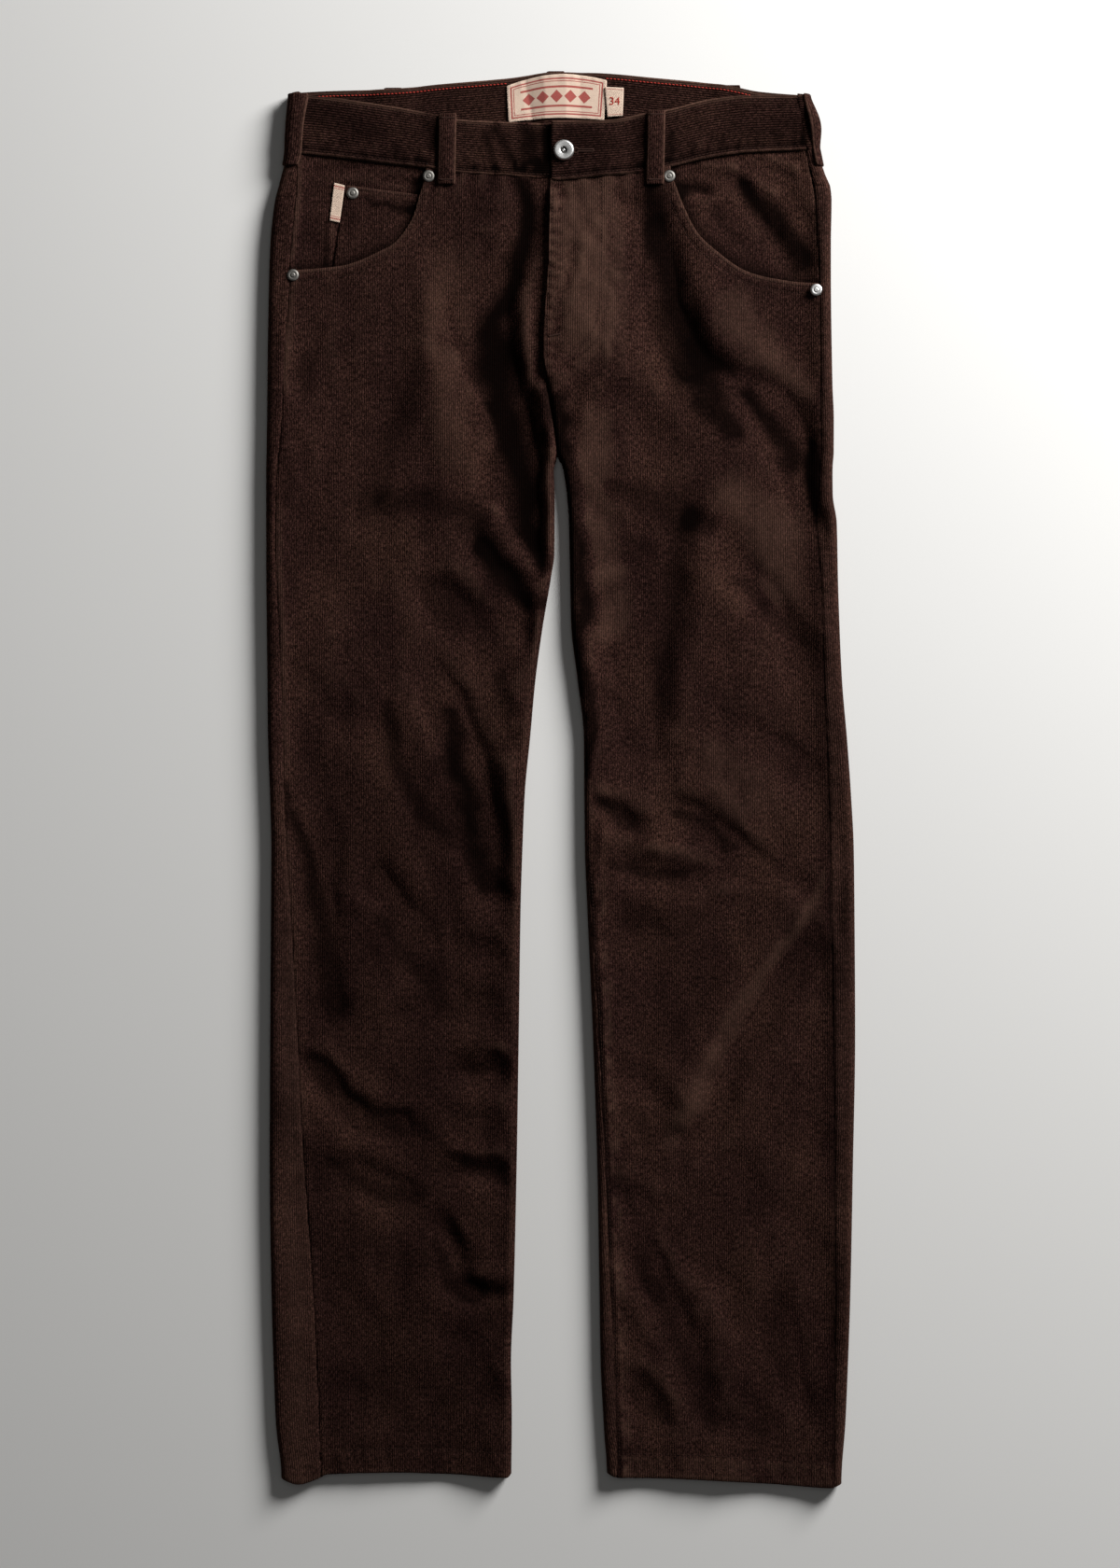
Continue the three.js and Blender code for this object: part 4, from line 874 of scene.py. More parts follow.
# The waistband's stitch grooves and puckers.
def bandShape(z, part, depth, x, seed):
    low, high = part * depth, (1 - part) * depth
    z = z - 0.35 * bell(low - waist["stitchIn"], 1.2) - 0.35 * bell(high - waist["stitchIn"], 1.2)
    z = z + puckers["bandLow"] * valueNoise(x, low, 6, 12, seed) * bell(low - 6, 9)
    z = z + puckers["bandTop"] * valueNoise(x + 0.4 * high, high, 9, 12, seed + 1) * bell(high - 6, 9)
    return z + puckers["band"] * valueNoise(x, part * depth, 34, 22, seed + 2)


# How much higher the upper band lies at the lap than the panel below it does.
def bandLap(side, x):
    if side == "left":
        return 0
    return (clothSizes["lapBand"] - clothSizes["lapPanel"]) * (1 - smooth(34, 64, x))


def bandFace(side, x, y):
    top, bottom = at(bandFront[side], "top", x), at(bandFront[side], "bottom", x)
    part = (y - bottom) / (top - bottom)
    z = topHeight(side, x, y, clothSizes["bandLift"] + bandLap(side, x))
    return bandShape(z, part, top - bottom, x, 30 if side == "left" else 40)


def frontBand(side):
    leg = legs[side]
    sign, rows = leg["sign"], leg["rows"]
    end = 23 if side == "left" else -6.7
    share = np.linspace(0, 1, 110)[None, :]
    part = (0.5 - 0.5 * np.cos(np.linspace(0.04, 1 - 0.04, 24) * math.pi))[:, None]
    part = (part - part[0]) / (part[-1] - part[0])
    gx = mix(at(rows, "outer", bandMiddle) - sign * (waist["splitAt"] + 0.1), end, share) + 0 * part
    for _ in range(2):
        bottom, top = at(bandFront[side], "bottom", gx), at(bandFront[side], "top", gx)
        under = 3.5 * smooth(-8, 2, gx) if side == "left" else 0
        gy = mix(bottom + under, top, part)
        gx = mix(at(rows, "outer", gy) - sign * (waist["splitAt"] + 0.1), end, share)
    gz = bandFace(side, gx, gy)
    uv = clothUv(part * 46 + 0 * gx, gx)
    low, high = gy - gy[:1], gy[-1:] - gy
    # Painted shade in hollows and in a line just above the lower edge; top and bottom edges lighter.
    wearAndPaintedLight = raisedWearHollowShade(gz) + 0.3 * bell(low, 1.6) + 0.45 * bell(high, 2) - 0.5 * bell(low - 4, 2.5)
    # Short lines of painted shade for the puckers along the lower edge.
    puckers = np.maximum(0, valueNoise(gx, low, 4.2, 9, 70)) * bell(low - 8, 7)
    wearAndPaintedLight = wearAndPaintedLight + paintedShadeAt("band", gx, gy) - 0.9 * puckers
    # On the left, painted shadow on the band's end beside and under the fly's lap.
    if side == "left":
        wearAndPaintedLight = wearAndPaintedLight - 1.3 * smooth(-19, -12, gx)
    return clothWall("waistbandFront" + side.capitalize(), stacked(gx, gy, gz), clothSizes["bandWall"], uv,
                     wearAndPaintedLight, bulge=0.5)


# The back band rests on the back loops: how far it is lifted at x.
def riseAt(x):
    over = [1 - np.clip((np.abs(x - c) - 9) / 12, 0, 1) for c in backLoops.values()]
    return waist["rise"] * np.max(over, 0)


# The back waistband: from the left side loop round the back to the right one.
def backBand():
    part = np.linspace(0, 1, 16)[:, None]
    halves = []
    for side in ("left", "right"):
        y = mix(at(bandBack, "bottom", at(legs[side]["rows"], "outer", bandMiddle)),
                at(bandBack, "top", at(legs[side]["rows"], "outer", bandMiddle)), part)
        start = np.full((16, 1), waist["splitAt"] - 0.1)
        gx, gz = backSection(side, y, start, 1, False, clothSizes["bandLift"])
        halves.append((gx, gz))
    middleX = np.linspace(halves[0][0][8, -1] + 3, halves[1][0][8, -1] - 3, 130)[None, :] + 0 * part
    gx = np.hstack([halves[0][0], middleX, halves[1][0][:, ::-1]])
    gy = mix(at(bandBack, "bottom", gx), at(bandBack, "top", gx), part)
    gz = np.hstack([halves[0][1], riseAt(middleX), halves[1][1][:, ::-1]])
    uv = clothUv(part * 46 + 0 * gx, gx)
    wearAndPaintedLight = 0.4 * bell(gy[-1:] - gy, 2)
    grid = stacked(gx, gy, gz)
    return clothWall("waistbandBack", grid, clothSizes["bandWall"], uv, wearAndPaintedLight, bulge=0.5, under=True)


beltLoops = {"width": 14, "wall": 2.4, "front": {"left": (-96, 562, 504), "right": (80.5, 565, 504)}}


# A belt loop's crown and slight unevenness.
def loopShape(grid, u, v, name):
    bow = 0.35 * valueNoise(grid[..., 0] * 0 + v[:, None] * 60, u[None, :] * 14, 9, 6, len(name))
    crown = 1.1 * (1 - np.abs(2 * u - 1) ** 2.6)[None, :]
    crown = crown * np.sqrt(np.sin(math.pi * mix(0.12, 0.88, v)))[:, None]
    grid[..., 2] += bow + (crown if "Front" in name else 0.5 * crown)
    uv = np.stack([u[None, :] * 14 + 0 * v[:, None], v[:, None] * 60 + 0 * u[None, :]], -1) / 1000
    wearAndPaintedLight = 0.35 * bell((1 - np.abs(2 * u - 1))[None, :], 0.18) + 0 * v[:, None]
    return clothWall(name, grid, beltLoops["wall"], uv, wearAndPaintedLight, bulge=0.45)


def frontLoop(side):
    x0, top, bottom = beltLoops["front"][side]
    v, u = np.linspace(0, 1, 60), np.linspace(0, 1, 15)
    gy = np.repeat(mix(bottom, top, v)[:, None], 15, 1)
    gx = x0 + (u[None, :] - 0.5) * beltLoops["width"] + (gy - 535) * 0.02
    seam, over = at(bandFront[side], "bottom", gx), at(bandFront[side], "top", gx)
    on = smooth(seam - 9, seam - 1, gy) * clothSizes["bandLift"]
    free = 0.6 * np.sin(math.pi * np.clip((gy - seam) / (over - seam), 0, 1))
    gz = topHeight(side, gx, np.minimum(gy, over)) + on + free + clothSizes["gap"] + 0.1 + beltLoops["wall"]
    return loopShape(stacked(gx, gy, gz), u, v, "beltLoopFront" + side.capitalize())


# The left side loop lies on the waistband; the right one stands out round the edge.
def sideLoop(side):
    sign, rows = legs[side]["sign"], legs[side]["rows"]
    v, u = np.linspace(0, 1, 50), np.linspace(0, 1, 15)
    y = mix(520, 579, v)[:, None]
    outer = at(rows, "outer", y)
    seam = at(bandFront[side], "bottom", outer)
    arch = np.sin(math.pi * np.clip((y - seam) / 44, 0, 1))
    if side == "left":
        extra = clothSizes["bandLift"] * smooth(seam - 9, seam - 1, y)
        d = mix(1.2, mix(11.5, 15.5, v ** 0.7)[:, None] - 1.5 * arch, u[None, :] ** 1.25)
        heightAt = lambda q: topHeight(side, outer - sign * q, y + 0 * q, extra)
        slope = (heightAt(d + 0.4) - heightAt(d - 0.4)) / 0.8
        long = np.hypot(slope, 1)
        move = 0.6 + 1.1 * arch + beltLoops["wall"]
        gx = outer - sign * d + sign * slope / long * move
        gz = heightAt(d) + move / long
    else:
        radius = at(heights, "edge", y) / 2
        r = radius + 0.6 + beltLoops["wall"] + 4.6 * arch ** 1.4
        a = mix(-0.35, 1.25, u)[None, :]
        gx = outer - sign * radius + sign * r * np.cos(a)
        gz = radius + (r - 1.6 * arch) * np.sin(a)
    return loopShape(np.stack([gx, y + 0 * gx, gz], -1), u, v, "beltLoopSide" + side.capitalize())


def backLoop(name):
    x0 = backLoops[name]
    top, bottom = at(bandBack, "top", x0) + 2.4, at(bandBack, "bottom", x0) + 0.6
    v, u = np.linspace(0, 1, 30), np.linspace(0, 1, 11)
    gx = x0 + (u[None, :] - 0.5) * beltLoops["width"] + 0 * v[:, None]
    gy = mix(bottom, top, v)[:, None] + 0 * gx
    uv = clothUv(gx - x0, gy - bottom)
    return clothWall("beltLoopBack" + name.capitalize(), np.stack([gx, gy, 0 * gx + 2.4], -1), 2.4, uv,
                     0 * gx, bulge=0.3)


labels = {
    "main": {"corners": [[-45.4, 587.2], [39.1, 592], [36.7, 558.6], [-43.8, 556.6]], "arch": 7},
    "tag": {"corners": [[37.9, 586.2], [53.4, 585.4], [52.4, 562], [40, 561.2]]},
    "tab": {"corners": [[-191.4, 504.6], [-182.9, 502.4], [-187.2, 471.4], [-195.2, 473]]},
    "wall": 0.9,
}


def makeLabels():
    wall = labels["wall"]
    gx, gy, uv = cornerPatch(labels["main"]["corners"], 70, 26, labels["main"]["arch"])
    ripple = 0.55 * valueNoise(gx, gy, 13, 16, 17) - 0.5 * bell(gx + 26 + 0.2 * (gy - 570), 2.5)
    ripple = ripple + 0.18 * wave(gx, 9) * bell((1 - uv[..., 1]) * 33, 6)
    gz = clothSizes["bandWall"] + riseAt(gx) + 0.75 + wall + ripple
    main = clothWall("mainLabel", stacked(gx, gy, gz), wall, uv, 0 * gx, bulge=0.35)
    gx, gy, uv = cornerPatch(labels["tag"]["corners"], 16, 24)
    gz = clothSizes["bandWall"] + riseAt(gx) + 1.0 + 2 * wall + 0.25 * valueNoise(gx, gy, 8, 9, 18)
    tag = clothWall("sizeTag", stacked(gx, gy, gz), wall, uv, 0 * gx, bulge=0.35)
    gx, gy, uv = cornerPatch(labels["tab"]["corners"], 12, 36)
    gz = topHeight("left", gx, gy) - 2.0 + 0.3 + wall + 0.2 * valueNoise(gx, gy, 8, 9, 19)
    tab = clothWall("sideTab", stacked(gx, gy, gz), wall, uv, 0 * gx, bulge=0.35)
    return main, tag, tab


# A profile of radius and height, turned round the upright through centre.
def turnedPiece(name, profile, centre, steps=64):
    profile = spline(profile, 4)
    a = np.linspace(0, 2 * math.pi, steps, endpoint=False)
    points = [[centre[0], centre[1], centre[2] + profile[0][1]]]
    for r, z in profile[1:-1]:
        ring = stacked(centre[0] + r * np.cos(a), centre[1] + r * np.sin(a), 0 * a + centre[2] + z)
        points += ring.tolist()
    points.append([centre[0], centre[1], centre[2] + profile[-1][1]])
    rings = len(profile) - 2
    faces = []
    for k in range(steps):
        nextK = (k + 1) % steps
        faces.append([0, 1 + nextK, 1 + k])
        for j in range(rings - 1):
            low, high = 1 + j * steps, 1 + (j + 1) * steps
            faces.append([low + k, low + nextK, high + nextK, high + k])
        last = 1 + (rings - 1) * steps
        faces.append([last + k, last + nextK, len(points) - 1])
    return toMesh(name, points, faces)


buttonSizes = {"x": 2.8, "y": 531.5, "radius": 8.7, "height": 3.2}
rivetSizes = {"radius": 5, "height": 1.6}
rivetPlaces = [("left", -111.6, 510.2, 0), ("left", -226.2, 426, 0), ("left", -176, 496, -1.8),
               ("right", 92, 510.2, 0), ("right", 216.2, 413.6, 0)]


def metalPieces():
    b = buttonSizes
    seat = max(float(bandFace("right", b["x"] + d, b["y"])) for d in (-6, 6)) + 0.3
    r = b["radius"]
    button = turnedPiece("buttonHead", [[0, 0], [r - 1.2, 0], [r - 0.2, 0.5], [r, 1.3], [r - 0.4, 2.3],
        [r - 1.2, 3.1], [r - 2.6, b["height"]], [3.6, 2.9], [2.9, 2.5], [2.6, 1.2], [1.4, 1.0],
        [1.0, 1.9], [0, 2.0]], [b["x"], b["y"], seat])
    # The eyelet is a dark disc of painted shade in the button's hole.
    pieces = [button, turnedPiece("buttonEyelet", [[0, 1.1], [2.3, 1.1], [2.55, 1.3], [2.2, 1.5], [1.2, 1.45],
        [0, 1.4]], [b["x"], b["y"], seat])]
    for i, (side, x, y, drop) in enumerate(rivetPlaces):
        a = np.linspace(0, 2 * math.pi, 16)
        high = float(np.max(topHeight(side, x + 4.6 * np.cos(a), y + 4.6 * np.sin(a)))) + drop + 0.3
        r, h = rivetSizes["radius"], rivetSizes["height"]
        pieces.append(turnedPiece(f"rivetCap{i + 1}", [[0, 0], [r - 0.4, 0], [r, 0.4], [r - 0.5, 0.9],
            [3.4, 1.25], [2.4, 1.1], [1.9, 1.2], [1.5, h], [0, h]], [x, y, high], 48))
    return pieces


print("shapes: sizes read, cutting the panels")
cloth = []
for side in ("left", "right"):
    for cutPiece, node in ((frontPanel, "front_"), (backPanel, "back_"), (yoke, "yoke_"),
                           (bearer, "pocket_bearer_"), (frontBand, "waistband_front_"),
                           (frontLoop, "belt_loop_front_"), (sideLoop, "belt_loop_side_")):
        cloth.append((cutPiece(side), node + side))
    print("cut and laid:", side)
cloth.append((backBand(), "waistband_back"))
cloth.append((makeCoinPocket(), "coin_pocket"))
for name in backLoops:
    cloth.append((backLoop(name), "belt_loop_back_" + name))
mainLabel, sizeTag, sideTab = makeLabels()
metal = metalPieces()


# One socket with Python's operators; each adds its Math node.
class Value:
    def __init__(self, tree, socket):
        self.tree, self.socket = tree, socket

    def math(self, operation, other=None, swap=False):
        node = self.tree.nodes.new("ShaderNodeMath")
        node.operation = operation
        first, second = (other, self) if swap else (self, other)
        for i, item in enumerate((first, second)):
            if isinstance(item, Value):
                self.tree.links.new(item.socket, node.inputs[i])
            elif item is not None:
                node.inputs[i].default_value = item
        return Value(self.tree, node.outputs[0])

    def __add__(self, other):
        return self.math("ADD", other)

    __radd__ = __add__

    def __sub__(self, other):
        return self.math("SUBTRACT", other)

    def __rsub__(self, other):
        return self.math("SUBTRACT", other, True)

    def __mul__(self, other):
        return self.math("MULTIPLY", other)

    def __truediv__(self, other):
        return self.math("DIVIDE", other)

    def __pow__(self, other):
        return self.math("POWER", other)

    def __lt__(self, other):
        return self.math("LESS_THAN", other)

    def sine(self):
        return self.math("SINE")

    def size(self):
        return self.math("ABSOLUTE")

    def least(self, other):
        return self.math("MINIMUM", other)

    def most(self, other):
        return self.math("MAXIMUM", other)

    def within(self):
        return self.most(0.0).least(1.0)


# A material with one Principled shader, and short ways to feed it.
class Finish:
    def __init__(self, name):
        self.material = bpy.data.materials.new(name)
        self.material.use_nodes = True
        self.tree = self.material.node_tree
        self.tree.nodes.clear()
        self.shader = self.tree.nodes.new("ShaderNodeBsdfPrincipled")
        out = self.tree.nodes.new("ShaderNodeOutputMaterial")
        self.tree.links.new(self.shader.outputs[0], out.inputs[0])

    def node(self, kind, settings=None, output=0, **sockets):
        made = self.tree.nodes.new(kind)
        for key, value in (settings or {}).items():
            setattr(made, key, value)
        for key, value in sockets.items():
            self.fill(made.inputs[key], value)
        return Value(self.tree, made.outputs[output])

    # A value goes in as a link, a plain number or colour as the socket's own.
    def fill(self, socket, value):
        if isinstance(value, Value):
            self.tree.links.new(value.socket, socket)
        else:
            socket.default_value = value

    def noise(self, vector, detail, scale=1.0, **more):
        return self.node("ShaderNodeTexNoise", None, 0, Vector=vector, Scale=scale, Detail=detail, **more)

    def blend(self, factor, first, second):
        made = self.tree.nodes.new("ShaderNodeMix")
        made.data_type = "RGBA"
        for i, item in ((0, factor), (6, first), (7, second)):
            self.fill(made.inputs[i], item)
        return Value(self.tree, made.outputs[2])

    def parts(self, vector):
        made = self.tree.nodes.new("ShaderNodeSeparateXYZ")
        self.tree.links.new(vector.socket, made.inputs[0])
        return [Value(self.tree, o) for o in made.outputs]

    def joined(self, x, y, z=0.0):
        made = self.tree.nodes.new("ShaderNodeCombineXYZ")
        for i, item in enumerate((x, y, z)):
            self.fill(made.inputs[i], item)
        return Value(self.tree, made.outputs[0])

    def feed(self, socket, value):
        self.fill(self.shader.inputs[socket], value)

    def bump(self, height, distance):
        self.feed("Normal", self.node("ShaderNodeBump", None, 0, Distance=distance, Height=height))


# valley is the colour of painted shade, in the wale grooves and where the cloth's wear attribute is below 0;
# worn is the colour of wear and painted highlight.
corduroyLook = {
    "ridge": (0.063, 0.0305, 0.0195, 1), "ridgeCool": (0.066, 0.0268, 0.0245, 1),
    "valley": (0.0022, 0.001, 0.0008, 1), "worn": (0.1, 0.054, 0.038, 1),
    "sheen": 0.04, "sheenTint": (0.75, 0.4, 0.3, 1),
    "sway": 3.0, "roundness": 0.55, "tufts": 3.9, "pile": 4.4, "darkest": 0.13, "flecks": 0.3,
}
# Wale width, how much darker the grooves are as painted shade, fleck strength, brightness, relief in metres.
corduroyKinds = {
    "corduroy": (clothSizes["waleWidth"], 0.35, 1.0, 1.0, 0.00028),
    "waistCorduroy": (clothSizes["waistWaleWidth"], 1.0, 0.9, 1.02, 0.0005),
}


# Wales along v, with painted shade in their grooves. Painted shade where the cloth's wear attribute is below
# 0; wear and painted highlight make it lighter where it is above.
def corduroy(name):
    width, grooveShade, mottle, gain, relief = corduroyKinds[name]
    look, f = corduroyLook, Finish(name)
    uv = f.node("ShaderNodeUVMap", {"uv_map": "cloth"})
    u, v, _ = f.parts(uv)
    across, along = u * 1000.0, v * 1000.0
    sway = f.noise(f.joined(across * 0.02, along * 0.008), 1.0)
    line = (across + (sway - 0.5) * look["sway"]) * (2 * math.pi / width)
    ridge = (line.sine() * 0.5 + 0.5) ** look["roundness"]
    tuft = f.noise(f.joined(across * 1.4, along * 0.8), 3.0, Roughness=0.7)
    pile = f.noise(f.joined(across * 0.85, along * 0.3), 3.0, Roughness=0.65)
    fleck = ((tuft - 0.5) * look["tufts"] + (pile - 0.5) * look["pile"]) * mottle
    fibre = f.noise(f.joined(across * 0.9, along * 1.1, 7.0), 2.0)
    nap = f.noise(f.joined(across * 0.11, along * 0.045), 4.0, Roughness=0.62)
    cloud = f.noise(f.joined(across * 0.016, along * 0.009), 2.0)
    wearAndPaintedLight = f.node("ShaderNodeAttribute", {"attribute_name": "wearAndPaintedLight"}, 2)
    patch = ((cloud - 0.5) * 3.0 + 0.5).within()
    lit = f.blend(((fibre - 0.5) * 3.5 - patch * 0.4 + 0.75).within(), look["ridge"], look["ridgeCool"])
    tone = ((1 - grooveShade + ridge * grooveShade) * (0.53 + fleck).most(look["darkest"]) * gain
            * (0.08 + nap * 0.8 + patch * 0.5)).within()
    base = f.blend(tone, look["valley"], lit)
    bright = (fleck - 0.42).most(0.0) * look["flecks"]
    rubAndHighlight = (wearAndPaintedLight * (0.5 + nap * 0.9) * (0.35 + ridge * 0.65) + bright).within()
    # laid: painted shade, a blend toward the valley colour.
    laid = (wearAndPaintedLight * -0.97).within()
    f.feed("Base Color", f.blend(laid, f.blend(rubAndHighlight, base, look["worn"]), look["valley"]))
    f.feed("Roughness", 0.92)
    f.feed("Specular IOR Level", 0.01)
    f.feed("Sheen Weight", look["sheen"])
    f.feed("Sheen Roughness", 0.45)
    f.feed("Sheen Tint", look["sheenTint"])
    f.bump(ridge + tuft * 0.9 + nap * 0.5, relief)
    return f.material


# Colour and worn colour of each thread, and of the tag's print.
threadColours = {
    "brownThread": ((0.038, 0.017, 0.012, 1), (0.014, 0.006, 0.0045, 1)),
    "redThread": ((0.42, 0.05, 0.035, 1), (0.26, 0.022, 0.016, 1)),
    "redPrint": ((0.35, 0.03, 0.02, 1), (0.3, 0.02, 0.015, 1)),
}


def threadFinish(name):
    f = Finish(name)
    colour, worn = threadColours[name]
    place = f.node("ShaderNodeTexCoord", None, 3)
    fuzz = f.noise(place, 2.0, 900.0)
    f.feed("Base Color", f.blend(fuzz, colour, worn))
    f.feed("Roughness", 0.8)
    f.feed("Specular IOR Level", 0.1)
    f.bump(fuzz, 0.00015)
    return f.material


labelLook = {"cream": (0.74, 0.57, 0.44, 1), "shade": (0.6, 0.43, 0.33, 1), "red": (0.32, 0.013, 0.01, 1)}


# A woven label: fine threads, a double border line and a row of lozenges between rules.
def labelFinish(name, size, motif):
    look, f = labelLook, Finish(name)
    wide, high = size
    u, v, _ = f.parts(f.node("ShaderNodeUVMap", {"uv_map": "cloth"}))
    x, y = (u - 0.5) * wide, (v - 0.5) * high
    warp, weft = (x * (2 * math.pi / 0.42)).sine(), (y * (2 * math.pi / 0.36)).sine()
    weave = warp * weft * 0.5 + 0.5
    slub = f.noise(f.joined(x * 0.5, y * 2.5), 3.0)
    inX, inY = wide / 2 - x.size(), high / 2 - y.size()
    edge = inX.least(inY)
    if motif == "main":
        border = ((edge - 3.2).size() < 0.65).most((edge - 5.3).size() < 0.35)
        cell = ((x / 12.0 + 0.5).math("FRACT") - 0.5).size() * 12.0
        lozenge = ((cell + y.size()) < 5.4) * (x.size() < 30.0)
        rules = (((y.size() - 8.0).size() < 0.9) * (x.size() < 31.0))
        mask = border.most(lozenge).most(rules)
    elif motif == "tab":
        mask = ((inY - 2.2).size() < 0.5).most((inY - 4.0).size() < 0.25)
    else:
        mask = (inY - 1.4).size() < 0.2
    red = (mask * (0.75 + weave * 0.25)).within()
    ground = f.blend(slub, look["shade"], look["cream"])
    f.feed("Base Color", f.blend(red, ground, look["red"]))
    f.feed("Roughness", 0.8)
    f.feed("Sheen Weight", 0.15)
    f.bump(weave + slub * 0.6, 0.00012)
    return f.material


# Colour, roughness and how much dark staining each metal has.
metals = {
    "brightNickel": ((0.88, 0.87, 0.85, 1), 0.28, 0.25),
    "dullNickel": ((0.36, 0.34, 0.31, 1), 0.42, 1.5),
    # The dark metal is painted shade: it colours the button's hole dark.
    "holeShadeNickel": ((0.1, 0.095, 0.09, 1), 0.5, 0.5),
}


def metalFinish(name):
    f = Finish(name)
    colour, rough, dark = metals[name]
    place = f.node("ShaderNodeTexCoord", None, 3)
    grain = f.noise(place, 3.0, 520.0)
    spots = f.noise(place, 2.0, 160.0)
    f.feed("Base Color", f.blend((spots * dark).within(), colour, tuple(c * 0.45 for c in colour[:3]) + (1,)))
    f.feed("Metallic", 1.0)
    f.feed("Roughness", (grain * 0.25 + rough).within())
    f.bump(grain, 0.00006)
    return f.material


panelCloth = corduroy("corduroy")
waistCloth = corduroy("waistCorduroy")
brownThread = threadFinish("brownThread")
redThread = threadFinish("redThread")
print("finishes made")


# Stitch rows: polylines on the cloth, one group for each thread.
def onFront(side, line):
    line = np.array(line)
    z = frontFace(side, line[:, 0], line[:, 1])
    return np.column_stack([line, z + 0.05])


def onBand(side, line):
    line = np.array(line)
    return np.column_stack([line, bandFace(side, line[:, 0], line[:, 1]) + 0.05])


# The stretches of a line whose points pass the test.
def clipped(line, keep):
    out, run = [], []
    for p in line:
        if keep(p):
            run.append(p)
        elif len(run) > 2:
            out.append(np.array(run))
            run = []
        else:
            run = []
    if len(run) > 2:
        out.append(np.array(run))
    return out


def stitchRows():
    rows = []
    for side in ("left", "right"):
        leg = legs[side]
        sign, outline = leg["sign"], leg["rows"]
        a = at(outline, "seam", -570) - sign * 1.5
        b = at(outline, "inner", -570) + sign * (at(outline, "inset", -570) + 2)
        x = np.linspace(a, b, 90)
        rows.append(onFront(side, np.column_stack([x, at(leg["hem"], "y", x) + seamStitch["hem"]])))
        for d in seamStitch["scoop"]:
            line = movedLine(scoopLines[side], -sign * d)
            seamX = lambda p: sign * (at(outline, "seam", p[1]) - p[0]) > 1.5
            for run in clipped(line, lambda p: seamX(p) and p[1] < at(bandFront[side], "bottom", p[0]) - 1):
                rows.append(onFront(side, run))
        end = -5 if side == "right" else -10.5
        x = np.linspace(at(outline, "outer", bandMiddle) - sign * 12, end, 120)
        for key, shift in (("bottom", waist["stitchIn"]), ("top", -waist["stitchIn"])):
            rows.append(onBand(side, np.column_stack([x, at(bandFront[side], key, x) + shift])))
    y = np.linspace(-575, -60, 170)
    right = legs["right"]["rows"]
    for d in seamStitch["inseam"]:
        rows.append(onFront("right", np.column_stack([at(right, "inner", y) + at(right, "inset", y) + d, y])))
    below = lambda p: p[1] < at(bandFront["right"], "bottom", p[0]) - 1
    for line in (flyStitch, flyStitchInner):
        for run in clipped(line, lambda p: below(p) and p[0] > -8):
            rows.append(onFront("right", run))
    y = np.linspace(358, 504, 60)
    rows.append(onFront("right", np.column_stack([at(frontEnds, "right", y) + seamStitch["flyEdge"], y])))
    (ax, ay), (bx, by) = coinPocket["corners"][:2]
    for d in coinPocket["stitch"]:
        x = np.linspace(ax + 1.5, -121, 30)
        y = mix(ay, by, (x - ax) / (bx - ax)) - d
        rows.append(np.column_stack([x, y, coinFace(x, y) + 0.05]))
    return rows


def redRows():
    rows = []
    for a, b in ((-214, -47), (39.5, 166)):
        x = np.linspace(a, b, 60)
        y = at(bandBack, "top", x) - 3
        rows.append(np.column_stack([x, y, clothSizes["bandWall"] + riseAt(x) + 0.1]))
    return rows


stitchSizes = {"pitch": 3.1, "length": 2.5, "width": 0.62, "redWidth": 1.15}


# Geometry Nodes: a stitch at every pitch along a line of edges.
def stitchTree():
    tree = bpy.data.node_groups.new("stitches", "GeometryNodeTree")
    face = tree.interface
    face.new_socket("Geometry", in_out="INPUT", socket_type="NodeSocketGeometry")
    names = {}
    for label in ("Pitch", "Length", "Width", "Thread"):
        kind = "NodeSocketMaterial" if label == "Thread" else "NodeSocketFloat"
        names[label] = face.new_socket(label, in_out="INPUT", socket_type=kind).identifier
    face.new_socket("Geometry", in_out="OUTPUT", socket_type="NodeSocketGeometry")

    def add(kind, **settings):
        node = tree.nodes.new(kind)
        for key, value in settings.items():
            setattr(node, key, value)
        return node

    start, end = add("NodeGroupInput"), add("NodeGroupOutput")
    curve, even = add("GeometryNodeMeshToCurve"), add("GeometryNodeResampleCurve", mode="LENGTH")
    tangent, turn = add("GeometryNodeInputTangent"), add("FunctionNodeAlignEulerToVector", axis="Z")
    ball, scale = add("GeometryNodeMeshUVSphere"), add("ShaderNodeCombineXYZ")
    ball.inputs["Segments"].default_value = 6
    ball.inputs["Rings"].default_value = 5
    ball.inputs["Radius"].default_value = 0.5
    place, real = add("GeometryNodeInstanceOnPoints"), add("GeometryNodeRealizeInstances")
    paint = add("GeometryNodeSetMaterial")
    soft = add("GeometryNodeSetShadeSmooth")
    link = tree.links.new
    link(start.outputs[0], curve.inputs[0])
    link(curve.outputs[0], even.inputs["Curve"])
    link(start.outputs["Pitch"], even.inputs["Length"])
    link(tangent.outputs[0], turn.inputs["Vector"])
    link(start.outputs["Width"], scale.inputs[0])
    link(start.outputs["Width"], scale.inputs[1])
    link(start.outputs["Length"], scale.inputs[2])
    link(even.outputs[0], place.inputs["Points"])
    link(ball.outputs["Mesh"], place.inputs["Instance"])
    link(turn.outputs[0], place.inputs["Rotation"])
    link(scale.outputs[0], place.inputs["Scale"])
    link(place.outputs[0], real.inputs[0])
    link(real.outputs[0], soft.inputs[0])
    link(soft.outputs[0], paint.inputs["Geometry"])
    link(start.outputs["Thread"], paint.inputs["Material"])
    link(paint.outputs[0], end.inputs[0])
    return tree, names


stitches, stitchSockets = stitchTree()


